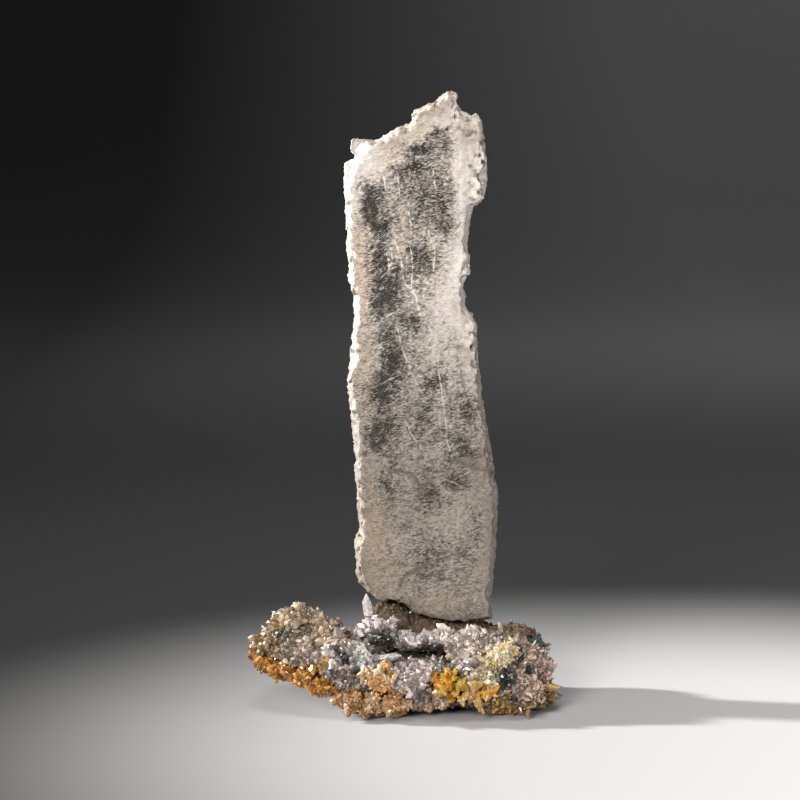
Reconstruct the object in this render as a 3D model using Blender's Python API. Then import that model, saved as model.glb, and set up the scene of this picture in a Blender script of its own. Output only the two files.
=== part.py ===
"""A tall blade of selenite standing on its matrix: a plate of brown host rock, a crust of pale lilac
quartz over the front and top of it, and small clusters of other crystals set into that crust.

X runs to the right along the plate, Y to the back, Z up. The origin is on the surface that the
specimen stands on, under the middle of its bounding box. Everything is modelled in millimetres,
where Blender's triangulation and Booleans keep small faces apart, and set down in metres at the end.
"""

import math
import random

import bmesh
import bpy
from mathutils import Matrix, Vector, geometry, noise

MM = 0.001

# Every size and place in this file is written in millimetres. First the gaps: between pieces that
# touch, between the crust and the rock under it, and between the crystals and the floor.
SEAT_GAP = 0.3
ROCK_GAP = 0.4
FLOOR_GAP = 0.35
# A cutter's corners move out by at most this many times its gap, and points closer together than
# HULL_MERGE count as one when a hull is drawn round a cluster.
MOST_SHELL_FACTOR = 1.8
HULL_MERGE = 0.25
FLOOR_BLOCK_SIDE = 200.0
FLOOR_BLOCK_DEPTH = 30.0

BLADE_MIDDLE_Y = 6.5
BLADE_THICKNESS_FOOT = 13.5
BLADE_THICKNESS_TOP = 10.5
BLADE_FOOT_Z = 20.5
BLADE_PEAK_Z = 160.0
# The line up the blade that its bevels slope towards: its x at mid height, how far it leans to
# the left for each millimetre of height, and how far it stops short of the foot and the peak.
SPINE_X = 2.0
SPINE_LEAN = 0.05
SPINE_MID_Z = 90.0
SPINE_FOOT_MARGIN = 16.0
SPINE_PEAK_MARGIN = 24.0

ROCK_HALF_LENGTH = 35.0
ROCK_HALF_DEPTH = 18.5
ROCK_HALF_THICKNESS = 8.2
ROCK_HALF_THICKNESS_LEFT = 5.0
ROCK_CENTRE = (0.6, 4.0, 6.9)
ROCK_LEFT_LIFT = 6.4
ROCK_LIFT_START_X = -6.0
ROCK_LIFT_LENGTH = 26.0
ROCK_SQUARENESS = 3.2
ROCK_LUMP_HEIGHT = 2.2
ROCK_LUMP_OCTAVES = (0.8, 2.2, 3)
ROCK_SUBDIVISIONS = 3
ROCK_LUMP_SIZE = 11.0

# The silhouette of the blade from the front, clockwise from its top left shoulder: x, z, and the
# width of the bevel that leads from there to the flat front and back faces.
BLADE_OUTLINE = (
    (-15.6, 141.4, 3.0),
    (-13.2, 142.4, 3.6),
    (-13.1, 145.8, 3.2),
    (-11.5, 147.6, 3.4),
    (-9.0, 147.2, 4.0),
    (-6.7, 147.5, 5.0),
    (-2.3, 150.2, 5.6),
    (1.5, 151.9, 6.0),
    (2.0, 154.5, 6.0),
    (5.3, 156.5, 6.0),
    (8.0, 157.2, 6.0),
    (9.8, 159.2, 5.0),
    (11.6, BLADE_PEAK_Z, 4.5),
    (12.9, 158.6, 4.5),
    (13.4, 156.5, 4.5),
    (15.0, 154.4, 5.0),
    (17.8, 153.3, 5.4),
    (19.5, 151.2, 5.4),
    (20.7, 146.8, 5.2),
    (21.2, 141.5, 5.0),
    (21.2, 136.5, 5.0),
    (20.9, 133.0, 4.4),
    (19.8, 130.6, 3.4),
    (17.8, 129.2, 1.6),
    (16.9, 126.4, 1.4),
    (16.4, 120.6, 1.6),
    (17.0, 116.8, 2.6),
    (16.9, 113.4, 2.6),
    (15.5, 110.9, 2.2),
    (15.7, 107.5, 2.2),
    (16.2, 104.2, 2.6),
    (17.8, 101.2, 3.6),
    (18.7, 97.8, 3.8),
    (19.0, 93.0, 3.2),
    (19.6, 88.5, 2.6),
    (20.2, 82.5, 2.2),
    (20.9, 77.5, 2.0),
    (22.2, 70.0, 2.0),
    (22.9, 65.0, 2.2),
    (23.7, 60.0, 2.0),
    (24.5, 55.0, 2.0),
    (24.6, 47.5, 2.2),
    (24.1, 40.0, 2.2),
    (23.6, 32.5, 2.0),
    (22.9, 27.6, 2.0),
    (23.0, 21.3, 1.4),
    (19.0, 20.8, 0.8),
    (15.2, BLADE_FOOT_Z, 0.8),
    (10.3, 21.0, 0.8),
    (5.3, 22.1, 0.8),
    (1.7, 23.2, 0.8),
    (-0.2, 24.9, 0.8),
    (-3.2, 26.3, 0.8),
    (-7.2, 25.9, 0.8),
    (-10.3, 28.7, 1.2),
    (-12.2, 30.6, 1.6),
    (-13.2, 34.5, 2.2),
    (-13.3, 41.0, 2.4),
    (-12.2, 45.1, 2.2),
    (-12.7, 50.0, 2.2),
    (-12.9, 63.0, 2.2),
    (-13.7, 69.0, 2.4),
    (-14.3, 75.0, 2.4),
    (-15.1, 82.5, 2.6),
    (-14.9, 88.5, 2.6),
    (-14.2, 95.0, 2.2),
    (-13.9, 105.0, 2.2),
    (-14.6, 110.5, 2.0),
    (-15.0, 115.0, 2.0),
    (-15.3, 122.0, 1.8),
    (-15.8, 130.0, 1.8),
    (-16.1, 138.0, 2.2),
)

# How the bevel falls back from the front face to the rim and on to the back face: the share of
# the bevel's width that is left, and the depth as a share of half the thickness.
BLADE_PROFILE = ((1.0, -1.0), (0.42, -0.74), (0.0, -0.28), (0.0, 0.32), (0.42, 0.76), (1.0, 1.0))
# Chips along the rim: how deep, how far they may stand proud of it instead, and how far apart.
BLADE_CHIP_DEPTH = 0.9
BLADE_CHIP_PROUD = 0.2
BLADE_CHIP_SIZE = 3.2

# The broad front and back faces: spacing of the points inside them, how far those points keep
# from the bevel, how far the face waves in and out, and how close two points are the same one.
FACE_POINT_SPACING = 8.5
FACE_POINT_MARGIN = 2.6
FACE_COLUMNS = 4
FACE_WAVE = 0.7
FACE_WAVE_LENGTH = 7.7
FACE_MERGE = 0.0001

# Knobs of regrown gypsum along the blade's rim: centre x, z, depth off the middle plane, and radii.
# How uneven knobs, rises, mounds and clusters are is given as a share of their size.
KNOB_ROUGHNESS = 0.3
BLADE_KNOBS = (
    (-12.2, 145.3, -2.4, 2.6, 2.6, 2.4),
    (11.6, 157.0, -2.6, 2.3, 2.6, 3.2),
    (18.0, 149.5, -3.0, 2.6, 3.2, 4.2),
    (18.9, 142.0, -3.2, 2.4, 3.0, 5.2),
    (18.7, 134.2, -3.0, 2.4, 3.0, 4.4),
    (15.6, 115.0, -2.6, 1.8, 2.8, 4.0),
    (16.9, 97.5, -3.0, 2.2, 2.8, 5.0),
    (22.0, 52.0, -2.8, 2.2, 2.8, 6.5),
    (14.0, 128.0, 4.0, 3.6, 3.0, 6.0),
    (-10.5, 60.0, 3.6, 3.0, 3.0, 8.0),
)

# Parts of the host rock that stand above its plate: centre x, y, z, then radii.
RISE_ROUGHNESS = 0.35
ROCK_RISES = (
    (-3.4, 7.5, 18.3, 6.8, 7.0, 8.6),
    (4.5, 8.0, 15.6, 9.0, 8.0, 8.0),
    (15.0, 8.5, 13.9, 10.0, 8.0, 7.6),
    (27.0, 11.0, 11.6, 9.6, 10.0, 7.4),
    (-20.0, 12.0, 12.0, 10.0, 8.0, 5.6),
)

# The mounds of the quartz crust, from the left end round the front to the right and then the
# back: centre x, y, z, then radii.
CRUST_MOUNDS = (
    (-34.6, -4.0, 14.3, 6.2, 10.6, 4.6),
    (-27.5, -11.0, 13.2, 9.0, 9.2, 5.4),
    (-28.8, 0.5, 17.8, 7.0, 7.6, 7.6),
    (-22.4, -1.0, 16.6, 6.4, 7.6, 6.4),
    (-15.5, -11.5, 11.2, 9.6, 10.5, 8.0),
    (-7.9, -5.5, 17.2, 6.4, 5.4, 6.2),
    (-5.5, -17.5, 7.8, 9.0, 6.4, 7.0),
    (4.0, -15.0, 8.4, 10.5, 8.4, 7.2),
    (8.2, -6.4, 16.6, 12.2, 4.2, 3.5),
    (19.5, -6.0, 14.6, 7.4, 6.4, 5.2),
    (16.5, -14.5, 8.6, 9.0, 8.4, 7.6),
    (27.4, -9.0, 10.2, 8.8, 10.2, 7.2),
    (31.8, -6.0, 8.8, 5.6, 9.6, 7.0),
    (26.5, -16.5, 6.6, 9.0, 6.4, 6.0),
    (33.6, 6.0, 8.0, 4.6, 9.0, 5.8),
    (34.6, -8.4, 3.8, 4.4, 6.6, 3.8),
    (-32.2, 9.0, 14.0, 5.6, 8.0, 4.8),
)

# How uneven the mounds are, as a share of their size, and the way that the crust faces.
CRUST_ROUGHNESS = 0.26
CRUST_FACING = (0.0, -0.35, 1.0)
CRUST_FACING_LIMIT = 110.0

# Least and greatest height of the small points on the mounds, the share of a mound's faces that
# carry one, and how unevenly its tip is drawn towards the face's corners. Then smallest and largest
# width and length of the crystals that stand out between them, and how many are tried on each
# mound. All crystals start a little below the surface and lean by a random share.
CRUST_POINT_HEIGHT = (0.7, 2.0)
CRUST_POINT_SHARE = 0.30
CRUST_POINT_PULL = (0.6, 1.4)
CRUST_CRYSTAL_WIDTH = (2.8, 4.2)
CRUST_CRYSTAL_LENGTH = (4.0, 5.2)
CRUST_CRYSTALS_PER_MOUND = 4
CRYSTAL_ROOT_DEPTH = 1.4
CRYSTAL_TIP_SHIFT = 0.07
CRYSTAL_LEAN = 0.4

# Clusters that sit in the crust, each one solid: the knots that the crystals grow from (centre
# x, y, z, then radii), the way that they face, how many crystals are tried on each knot, their
# smallest and largest width and length, and the tip's share of the length.
CLUSTERS = {
    "cream_needle_crystals": {
        "knots": (
            (20.6, -15.6, 11.6, 3.4, 3.6, 3.0),
            (23.4, -15.0, 13.8, 3.4, 3.8, 2.8),
            (26.0, -13.4, 15.6, 3.2, 3.8, 2.6),
        ),
        "facing": (-0.35, -0.7, 0.6),
        "crystals": 12,
        "width": (1.1, 1.7),
        "length": (2.8, 4.0),
        "tip": 0.4,
    },
    "orange_crystals_left": {
        "knots": (
            (-35.8, -11.0, 12.6, 3.6, 3.8, 2.8),
            (-31.6, -14.8, 11.3, 3.8, 3.6, 2.8),
            (-26.2, -17.6, 10.3, 3.8, 3.4, 2.8),
            (-21.4, -19.0, 8.0, 3.6, 3.2, 2.8),
        ),
        "facing": (-0.3, -0.85, -0.3),
        "crystals": 9,
        "width": (1.8, 2.8),
        "length": (2.4, 3.4),
        "tip": 1.0,
    },
    "amber_crystals_low": {
        "knots": (
            (-13.2, -20.8, 4.8, 3.8, 3.4, 3.0),
            (-8.2, -21.0, 4.2, 3.8, 3.2, 3.0),
            (-2.8, -21.4, 4.4, 3.4, 3.0, 2.8),
        ),
        "facing": (0.0, -0.95, -0.1),
        "crystals": 10,
        "width": (2.2, 3.4),
        "length": (3.0, 4.2),
        "tip": 0.45,
    },
    "orange_crystals_middle": {
        "knots": ((-6.2, -21.6, 10.4, 2.6, 2.6, 3.2),),
        "facing": (0.1, -0.8, 0.35),
        "crystals": 12,
        "width": (1.8, 2.7),
        "length": (4.0, 5.4),
        "tip": 0.3,
    },
    "orange_crystals_right": {
        "knots": ((11.0, -20.8, 9.2, 3.0, 2.8, 3.0),),
        "facing": (-0.2, -0.85, -0.25),
        "crystals": 12,
        "width": (2.0, 3.0),
        "length": (4.2, 5.8),
        "tip": 0.3,
    },
    "yellow_crystals_right": {
        "knots": ((17.4, -20.6, 7.2, 2.8, 2.8, 3.4),),
        "facing": (0.1, -0.8, -0.4),
        "crystals": 12,
        "width": (2.0, 3.0),
        "length": (4.0, 5.6),
        "tip": 0.3,
    },
    "dark_crystals_back": {
        "knots": ((34.2, 5.4, 13.4, 3.0, 3.4, 2.6),),
        "facing": (0.35, -0.1, 0.9),
        "crystals": 14,
        "width": (1.6, 2.4),
        "length": (2.0, 2.8),
        "tip": 1.0,
    },
}
# A crystal is kept where its direction is within this angle of the way that its cluster faces.
CLUSTER_FACING_LIMIT = 84.0
KNOT_ROUGHNESS = 0.2

# A spot counts as hidden inside another mound once it is within this share of its radii.
HIDDEN_SHARE = 0.97
LUMPS_PER_RADIUS = 2.3
RISE_SEED = 10
CRUST_SEED = 30
CLUSTER_SEED = 60

# Single crystals large enough to pick out: foot x, y, z, the way that they point, width across,
# length, the tip's share of the length, and how far they are flattened.
SINGLE_CRYSTALS = {
    "stub_crystal_left": ((12.4, -12.4, 13.6), (-0.2, -0.9, 0.42), 3.0, 5.4, 0.3, 0.85),
    "stub_crystal_right": ((18.6, -13.8, 13.6), (-0.35, -0.85, 0.12), 4.2, 7.0, 0.22, 0.7),
    "plate_crystal": ((-7.4, -14.6, 14.2), (0.66, -0.6, 0.22), 5.6, 9.0, 0.35, 0.42),
    "foot_crystal": ((-9.6, -1.4, 23.2), (-0.12, -0.15, 1.0), 3.2, 6.4, 0.45, 0.5),
    "amber_tip_crystal": ((34.2, -12.4, 6.2), (0.9, -0.3, 0.10), 3.0, 7.2, 0.45, 0.7),
}

MATERIALS = {
    "selenite": ((0.78, 0.74, 0.68), 0.28),
    "host_rock": ((0.20, 0.15, 0.10), 0.85),
    "lilac_quartz": ((0.56, 0.52, 0.55), 0.30),
    "cream_quartz": ((0.82, 0.74, 0.58), 0.32),
    "orange_quartz": ((0.72, 0.38, 0.08), 0.32),
    "dark_green_mineral": ((0.05, 0.07, 0.06), 0.25),
    "clear_quartz": ((0.66, 0.60, 0.54), 0.20),
}
CLUSTER_MATERIALS = {"cream": "cream_quartz", "dark": "dark_green_mineral"}


def clear_scene():
    for obj in list(bpy.data.objects):
        bpy.data.objects.remove(obj, do_unlink=True)


def material(name):
    """The Principled material of that name from the table above, made once."""
    found = bpy.data.materials.get(name)
    if found:
        return found
    colour, roughness = MATERIALS[name]
    made = bpy.data.materials.new(name)
    made.use_nodes = True
    shader = made.node_tree.nodes["Principled BSDF"]
    shader.inputs["Base Color"].default_value = (*colour, 1.0)
    shader.inputs["Roughness"].default_value = roughness
    return made


def object_from(name, bm, material_name):
    """Turns a bmesh into an object of that name and frees the bmesh."""
    mesh = bpy.data.meshes.new(name)
    bm.to_mesh(mesh)
    bm.free()
    mesh.materials.append(material(material_name))
    obj = bpy.data.objects.new(name, mesh)
    bpy.context.scene.collection.objects.link(obj)
    return obj


def apply_modifiers(obj):
    graph = bpy.context.evaluated_depsgraph_get()
    mesh = bpy.data.meshes.new_from_object(obj.evaluated_get(graph))
    obj.modifiers.clear()
    obj.data = mesh


def boolean(obj, other, operation):
    """Joins other to obj or cuts it away, with the exact solver, and removes other."""
    modifier = obj.modifiers.new(operation.title(), "BOOLEAN")
    modifier.operation = operation
    modifier.object = other
    modifier.solver = "EXACT"
    modifier.use_self = operation == "UNION"
    apply_modifiers(obj)
    bpy.data.objects.remove(other, do_unlink=True)


def keep_largest_shell(obj):
    """Drops chips that a cut has freed and voids that crystals have closed in."""
    bm = bmesh.new()
    bm.from_mesh(obj.data)
    unseen = set(bm.faces)
    shells = []
    while unseen:
        shell = {unseen.pop()}
        edge_of_shell = list(shell)
        while edge_of_shell:
            face = edge_of_shell.pop()
            for edge in face.edges:
                for neighbour in edge.link_faces:
                    if neighbour in unseen:
                        unseen.remove(neighbour)
                        shell.add(neighbour)
                        edge_of_shell.append(neighbour)
        shells.append(shell)
    largest = max(shells, key=lambda shell: sum(face.calc_area() for face in shell))
    loose = [face for shell in shells if shell is not largest for face in shell]
    bmesh.ops.delete(bm, geom=loose, context="FACES")
    bmesh.ops.triangulate(bm, faces=bm.faces)
    bm.to_mesh(obj.data)
    bm.free()


def grown_copy(obj, by):
    """A copy of obj with every face moved out by about that many millimetres."""
    bm = bmesh.new()
    bm.from_mesh(obj.data)
    bmesh.ops.triangulate(bm, faces=bm.faces)
    bm.normal_update()
    moves = [vert.normal * min(vert.calc_shell_factor(), MOST_SHELL_FACTOR) * by for vert in bm.verts]
    for vert, move in zip(bm.verts, moves):
        vert.co += move
    return object_from(obj.name + "_cutter", bm, obj.data.materials[0].name)


def grown_hull(obj, by):
    """The convex hull of obj, grown by that many millimetres."""
    bm = bmesh.new()
    for vert in obj.data.vertices:
        bm.verts.new(vert.co)
    bmesh.ops.remove_doubles(bm, verts=bm.verts, dist=HULL_MERGE)
    made = bmesh.ops.convex_hull(bm, input=bm.verts)
    inside = {*made["geom_interior"], *made["geom_unused"]}
    loose = [item for item in inside if isinstance(item, bmesh.types.BMVert)]
    bmesh.ops.delete(bm, geom=loose, context="VERTS")
    bmesh.ops.recalc_face_normals(bm, faces=bm.faces)
    hull = object_from(obj.name + "_hull", bm, obj.data.materials[0].name)
    grown = grown_copy(hull, by)
    bpy.data.objects.remove(hull, do_unlink=True)
    return grown


def floor_block(top):
    """A block under the whole specimen, up to that height in millimetres."""
    side, depth = FLOOR_BLOCK_SIDE, FLOOR_BLOCK_DEPTH
    bm = bmesh.new()
    bmesh.ops.create_cube(bm, size=1.0)
    bmesh.ops.scale(bm, vec=(side, side, depth), verts=bm.verts)
    bmesh.ops.translate(bm, vec=(0, 0, top - depth / 2), verts=bm.verts)
    return object_from("floor_cutter", bm, "host_rock")


def add_mound(bm, centre, radii, seed, roughness, subdivisions=2):
    """Adds one lumpy ellipsoid as a closed shell of 80 flat faces, or of 20 at one subdivision."""
    lump = bmesh.ops.create_icosphere(bm, subdivisions=subdivisions, radius=1.0)["verts"]
    for vert in lump:
        bump = 1.0 + roughness * noise.noise(vert.co * LUMPS_PER_RADIUS + Vector((seed, 0.1, 0.3)))
        vert.co = [c + r * part * bump for c, r, part in zip(centre, radii, vert.co)]
    faces = list({face for vert in lump for face in vert.link_faces})
    bmesh.ops.recalc_face_normals(bm, faces=faces)
    return sorted(faces, key=lambda face: tuple(face.calc_center_median()))


def raise_points(bm, faces, heights, rng):
    """Raises three-sided crystal points on a share of the faces, to heights in that range."""
    for face in faces:
        if rng.random() > CRUST_POINT_SHARE:
            continue
        normal = face.normal.copy()
        corners = [vert.co.copy() for vert in face.verts]
        weights = [rng.uniform(*CRUST_POINT_PULL) for _ in corners]
        middle = sum((corner * weight for corner, weight in zip(corners, weights)), Vector())
        made = bmesh.ops.poke(bm, faces=[face])
        made["verts"][0].co = middle / sum(weights) + normal * rng.uniform(*heights)


def add_crystal(bm, foot, axis, width, length, tip=1.0, flatten=1.0, spin=0.0):
    """Adds one six-sided crystal as a closed shell: a prism with a point, or the point alone."""
    turn = Vector(axis).to_track_quat("Z", "Y").to_matrix()
    place = Matrix.Translation(foot) @ turn.to_4x4() @ Matrix.Rotation(spin, 4, "Z")
    corners = [
        (math.cos(a) * width / 2, math.sin(a) * width / 2 * flatten)
        for a in (math.radians(60 * step) for step in range(6))
    ]
    ring = [bm.verts.new(place @ Vector((x, y, 0.0))) for x, y in corners]
    bm.faces.new(reversed(ring))
    if tip < 1.0:
        shoulder = length * (1.0 - tip)
        high = [bm.verts.new(place @ Vector((x, y, shoulder))) for x, y in corners]
        for step in range(6):
            following = (step + 1) % 6
            bm.faces.new((ring[step], ring[following], high[following], high[step]))
        ring = high
    point = bm.verts.new(place @ Vector((width * CRYSTAL_TIP_SHIFT, 0.0, length)))
    for step in range(6):
        bm.faces.new((ring[step], ring[(step + 1) % 6], point))


def spread_directions(count):
    """Directions spaced evenly over a sphere, on a golden spiral."""
    golden = math.pi * (3.0 - math.sqrt(5.0))
    for step in range(count):
        height = 1.0 - 2.0 * (step + 0.5) / count
        ring = math.sqrt(1.0 - height * height)
        yield Vector((ring * math.cos(golden * step), ring * math.sin(golden * step), height))


def inside_ellipsoid(point, shape):
    """Whether point is hidden in an ellipsoid given by its centre and radii."""
    centre, radii = shape[:3], shape[3:]
    return sum(((p - c) / r) ** 2 for p, c, r in zip(point, centre, radii)) < HIDDEN_SHARE**2


def blade_thickness(z):
    """The blade thins evenly from its foot to its peak."""
    rise = (z - BLADE_FOOT_Z) / (BLADE_PEAK_Z - BLADE_FOOT_Z)
    return BLADE_THICKNESS_FOOT + (BLADE_THICKNESS_TOP - BLADE_THICKNESS_FOOT) * rise


def blade_ring(inset_share, depth_share):
    """The outline moved in by its bevel and forward or back, as points in millimetres."""
    points = []
    for x, z, bevel in BLADE_OUTLINE:
        middle = SPINE_X + SPINE_LEAN * (SPINE_MID_Z - z)
        lowest, highest = BLADE_FOOT_Z + SPINE_FOOT_MARGIN, BLADE_PEAK_Z - SPINE_PEAK_MARGIN
        spine = Vector((middle, min(max(z, lowest), highest)))
        inward = (spine - Vector((x, z))).normalized()
        chip = 0.0
        if 0.0 < abs(depth_share) < 1.0:
            place = Vector((x, z, depth_share * BLADE_THICKNESS_TOP)) / BLADE_CHIP_SIZE
            chip = BLADE_CHIP_DEPTH * noise.noise(place)
        moved = Vector((x, z)) + inward * (bevel * inset_share + max(chip, -BLADE_CHIP_PROUD))
        depth = BLADE_MIDDLE_Y + depth_share * blade_thickness(moved.y) / 2 + chip
        points.append((moved.x, depth, moved.y))
    return points


def fill_face(bm, rim):
    """Closes one broad face of the blade over its rim, with points inside it that wave slightly."""
    corners = [Vector((vert.co.x, vert.co.z)) for vert in rim]
    inner = []
    row = 0
    z = BLADE_FOOT_Z
    while z < BLADE_PEAK_Z:
        for column in range(-FACE_COLUMNS, FACE_COLUMNS + 1):
            spot = Vector(((column + 0.5 * (row % 2)) * FACE_POINT_SPACING, z))
            clear = min((spot - corner).length for corner in corners) > FACE_POINT_MARGIN
            if clear and crossings_to_the_right(spot, corners) % 2:
                inner.append(spot)
        row += 1
        z += FACE_POINT_SPACING
    loop = [list(range(len(corners)))]
    flat, _, triangles, sources, _, _ = geometry.delaunay_2d_cdt(corners + inner, [], loop, 1, FACE_MERGE)
    side = rim[0].co.y - BLADE_MIDDLE_Y
    placed = []
    for spot, source in zip(flat, sources):
        if source[0] < len(rim):
            placed.append(rim[source[0]])
            continue
        wave = FACE_WAVE * noise.noise(Vector((spot.x, side, spot.y)) / FACE_WAVE_LENGTH)
        depth = BLADE_MIDDLE_Y + math.copysign(blade_thickness(spot.y) / 2, side) + wave
        placed.append(bm.verts.new((spot.x, depth, spot.y)))
    for triangle in triangles:
        bm.faces.new([placed[corner] for corner in triangle])


def crossings_to_the_right(spot, corners):
    """How often a line to the right of spot crosses the outline: an odd number lies inside it."""
    crossings = 0
    for start, end in zip(corners, corners[1:] + corners[:1]):
        if (start.y > spot.y) != (end.y > spot.y):
            share = (spot.y - start.y) / (end.y - start.y)
            crossings += start.x + share * (end.x - start.x) > spot.x
    return crossings


def build_blade():
    """The selenite: a flat tabular crystal with bevelled, chipped rims and regrown knobs."""
    bm = bmesh.new()
    rings = [[bm.verts.new(p) for p in blade_ring(*share)] for share in BLADE_PROFILE]
    count = len(BLADE_OUTLINE)
    for near, far in zip(rings, rings[1:]):
        for step in range(count):
            following = (step + 1) % count
            bm.faces.new((near[step], near[following], far[following], far[step]))
    fill_face(bm, rings[0])
    fill_face(bm, rings[-1])
    bmesh.ops.triangulate(bm, faces=bm.faces)
    bmesh.ops.recalc_face_normals(bm, faces=bm.faces)
    blade = object_from("selenite_blade", bm, "selenite")
    knobs = bmesh.new()
    for step, (x, z, depth, rx, ry, rz) in enumerate(BLADE_KNOBS):
        add_mound(knobs, (x, BLADE_MIDDLE_Y + depth, z), (rx, ry, rz), seed=step, roughness=KNOB_ROUGHNESS)
    boolean(blade, object_from("knobs", knobs, "selenite"), "UNION")
    keep_largest_shell(blade)
    return blade


def build_rock(name, grow=0.0):
    """The host rock: a lumpy plate that thins and lifts towards its left end, all of it grown."""
    bm = bmesh.new()
    bmesh.ops.create_icosphere(bm, subdivisions=ROCK_SUBDIVISIONS, radius=1.0)
    power = ROCK_SQUARENESS
    for vert in bm.verts:
        size = sum(abs(part) ** power for part in vert.co) ** (1.0 / power)
        plate = vert.co / size
        x = ROCK_CENTRE[0] + ROCK_HALF_LENGTH * plate.x
        share = min(max((ROCK_LIFT_START_X - x) / ROCK_LIFT_LENGTH, 0.0), 1.0)
        share = share * share * (3.0 - 2.0 * share)
        half = ROCK_HALF_THICKNESS + (ROCK_HALF_THICKNESS_LEFT - ROCK_HALF_THICKNESS) * share
        y = ROCK_CENTRE[1] + ROCK_HALF_DEPTH * plate.y
        z = ROCK_CENTRE[2] + ROCK_LEFT_LIFT * share + half * plate.z
        place = Vector((x, y, z))
        lump = noise.fractal(place / ROCK_LUMP_SIZE, *ROCK_LUMP_OCTAVES) * ROCK_LUMP_HEIGHT
        vert.co = place + vert.co * (lump + grow)
    rock = object_from(name, bm, "host_rock")
    rises = bmesh.new()
    for step, shape in enumerate(ROCK_RISES):
        radii = [radius + grow for radius in shape[3:]]
        add_mound(rises, shape[:3], radii, seed=RISE_SEED + step, roughness=RISE_ROUGHNESS)
    boolean(rock, object_from("rises", rises, "host_rock"), "UNION")
    keep_largest_shell(rock)
    return rock


def stud_with_crystals(bm, shape, covers, form, rng):
    """Stands crystals on one ellipsoid, wherever none of the others that it grows among hides it."""
    facing = Vector(form["facing"])
    for direction in spread_directions(form["crystals"]):
        spot = Vector([c + r * d for c, r, d in zip(shape[:3], shape[3:], direction)])
        lean = Vector([rng.uniform(-CRYSTAL_LEAN, CRYSTAL_LEAN) for _ in range(3)])
        width = rng.uniform(*form["width"])
        length = rng.uniform(*form["length"])
        spin = rng.uniform(0.0, math.pi / 3)
        hidden = any(inside_ellipsoid(spot, other) for other in covers if other is not shape)
        if hidden or direction.angle(facing) > math.radians(form["limit"]):
            continue
        normal = Vector([d / r for d, r in zip(direction, shape[3:])]).normalized()
        axis = (normal + lean).normalized()
        foot = spot - axis * CRYSTAL_ROOT_DEPTH
        add_crystal(bm, foot, axis, width, length, tip=form["tip"], spin=spin)


def build_crust():
    """The lilac quartz: mounds and the crystals on them, grown together into one solid."""
    rng = random.Random(CRUST_SEED)
    form = {
        "facing": CRUST_FACING,
        "limit": CRUST_FACING_LIMIT,
        "crystals": CRUST_CRYSTALS_PER_MOUND,
        "width": CRUST_CRYSTAL_WIDTH,
        "length": CRUST_CRYSTAL_LENGTH,
        "tip": 1.0,
    }
    first = bmesh.new()
    rest = bmesh.new()
    for step, shape in enumerate(CRUST_MOUNDS):
        bm = rest if step else first
        faces = add_mound(bm, shape[:3], shape[3:], seed=CRUST_SEED + step, roughness=CRUST_ROUGHNESS)
        raise_points(bm, faces, CRUST_POINT_HEIGHT, rng)
        stud_with_crystals(rest, shape, ROCK_RISES + CRUST_MOUNDS, form, rng)
    crust = object_from("quartz_crust", first, "lilac_quartz")
    boolean(crust, object_from("rest_of_crust", rest, "lilac_quartz"), "UNION")
    return crust


def build_cluster(name, form, seed):
    """Knots with crystals standing on them, joined into one solid."""
    rng = random.Random(seed)
    slot = CLUSTER_MATERIALS.get(name.split("_")[0], "orange_quartz")
    knots = form["knots"]
    first = bmesh.new()
    add_mound(first, knots[0][:3], knots[0][3:], seed, KNOT_ROUGHNESS, subdivisions=1)
    cluster = object_from(name, first, slot)
    rest = bmesh.new()
    for step, shape in enumerate(knots):
        if step:
            add_mound(rest, shape[:3], shape[3:], seed + step, KNOT_ROUGHNESS, subdivisions=1)
        stud_with_crystals(rest, shape, knots, {**form, "limit": CLUSTER_FACING_LIMIT}, rng)
    boolean(cluster, object_from("rest_of_cluster", rest, slot), "UNION")
    keep_largest_shell(cluster)
    return cluster


def build_single(name, foot, axis, width, length, tip, flatten):
    """One crystal that stands alone in the crust."""
    bm = bmesh.new()
    add_crystal(bm, foot, axis, width, length, tip=tip, flatten=flatten)
    return object_from(name, bm, "clear_quartz")


def set_down_in_metres(objects):
    """Moves every mesh so that the middle of the bounding box is over the origin, and scales it."""
    corners = [vert.co for obj in objects for vert in obj.data.vertices]
    low = [min(co[i] for co in corners) for i in range(2)]
    high = [max(co[i] for co in corners) for i in range(2)]
    shift = Vector((-(low[0] + high[0]) / 2, -(low[1] + high[1]) / 2, 0.0))
    for obj in objects:
        obj.data.transform(Matrix.Scale(MM, 4) @ Matrix.Translation(shift))


def main():
    clear_scene()
    blade = build_blade()
    rock = build_rock("host_rock")
    crust = build_crust()
    inlays = [build_single(name, *form) for name, form in SINGLE_CRYSTALS.items()]
    inlays += [
        build_cluster(name, form, CLUSTER_SEED + step)
        for step, (name, form) in enumerate(CLUSTERS.items())
    ]

    boolean(rock, floor_block(0.0), "DIFFERENCE")
    boolean(rock, grown_copy(blade, SEAT_GAP), "DIFFERENCE")
    for step, inlay in enumerate(inlays):
        boolean(inlay, floor_block(FLOOR_GAP), "DIFFERENCE")
        boolean(inlay, grown_copy(blade, SEAT_GAP), "DIFFERENCE")
        for earlier in inlays[:step]:
            boolean(inlay, grown_hull(earlier, SEAT_GAP), "DIFFERENCE")
        keep_largest_shell(inlay)
        boolean(rock, grown_hull(inlay, SEAT_GAP), "DIFFERENCE")
    keep_largest_shell(rock)

    boolean(crust, build_rock("rock_cutter", ROCK_GAP), "DIFFERENCE")
    boolean(crust, grown_copy(blade, SEAT_GAP), "DIFFERENCE")
    for inlay in inlays:
        boolean(crust, grown_hull(inlay, SEAT_GAP), "DIFFERENCE")
    boolean(crust, floor_block(FLOOR_GAP), "DIFFERENCE")
    keep_largest_shell(crust)

    set_down_in_metres([blade, rock, crust, *inlays])


main()
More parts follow.
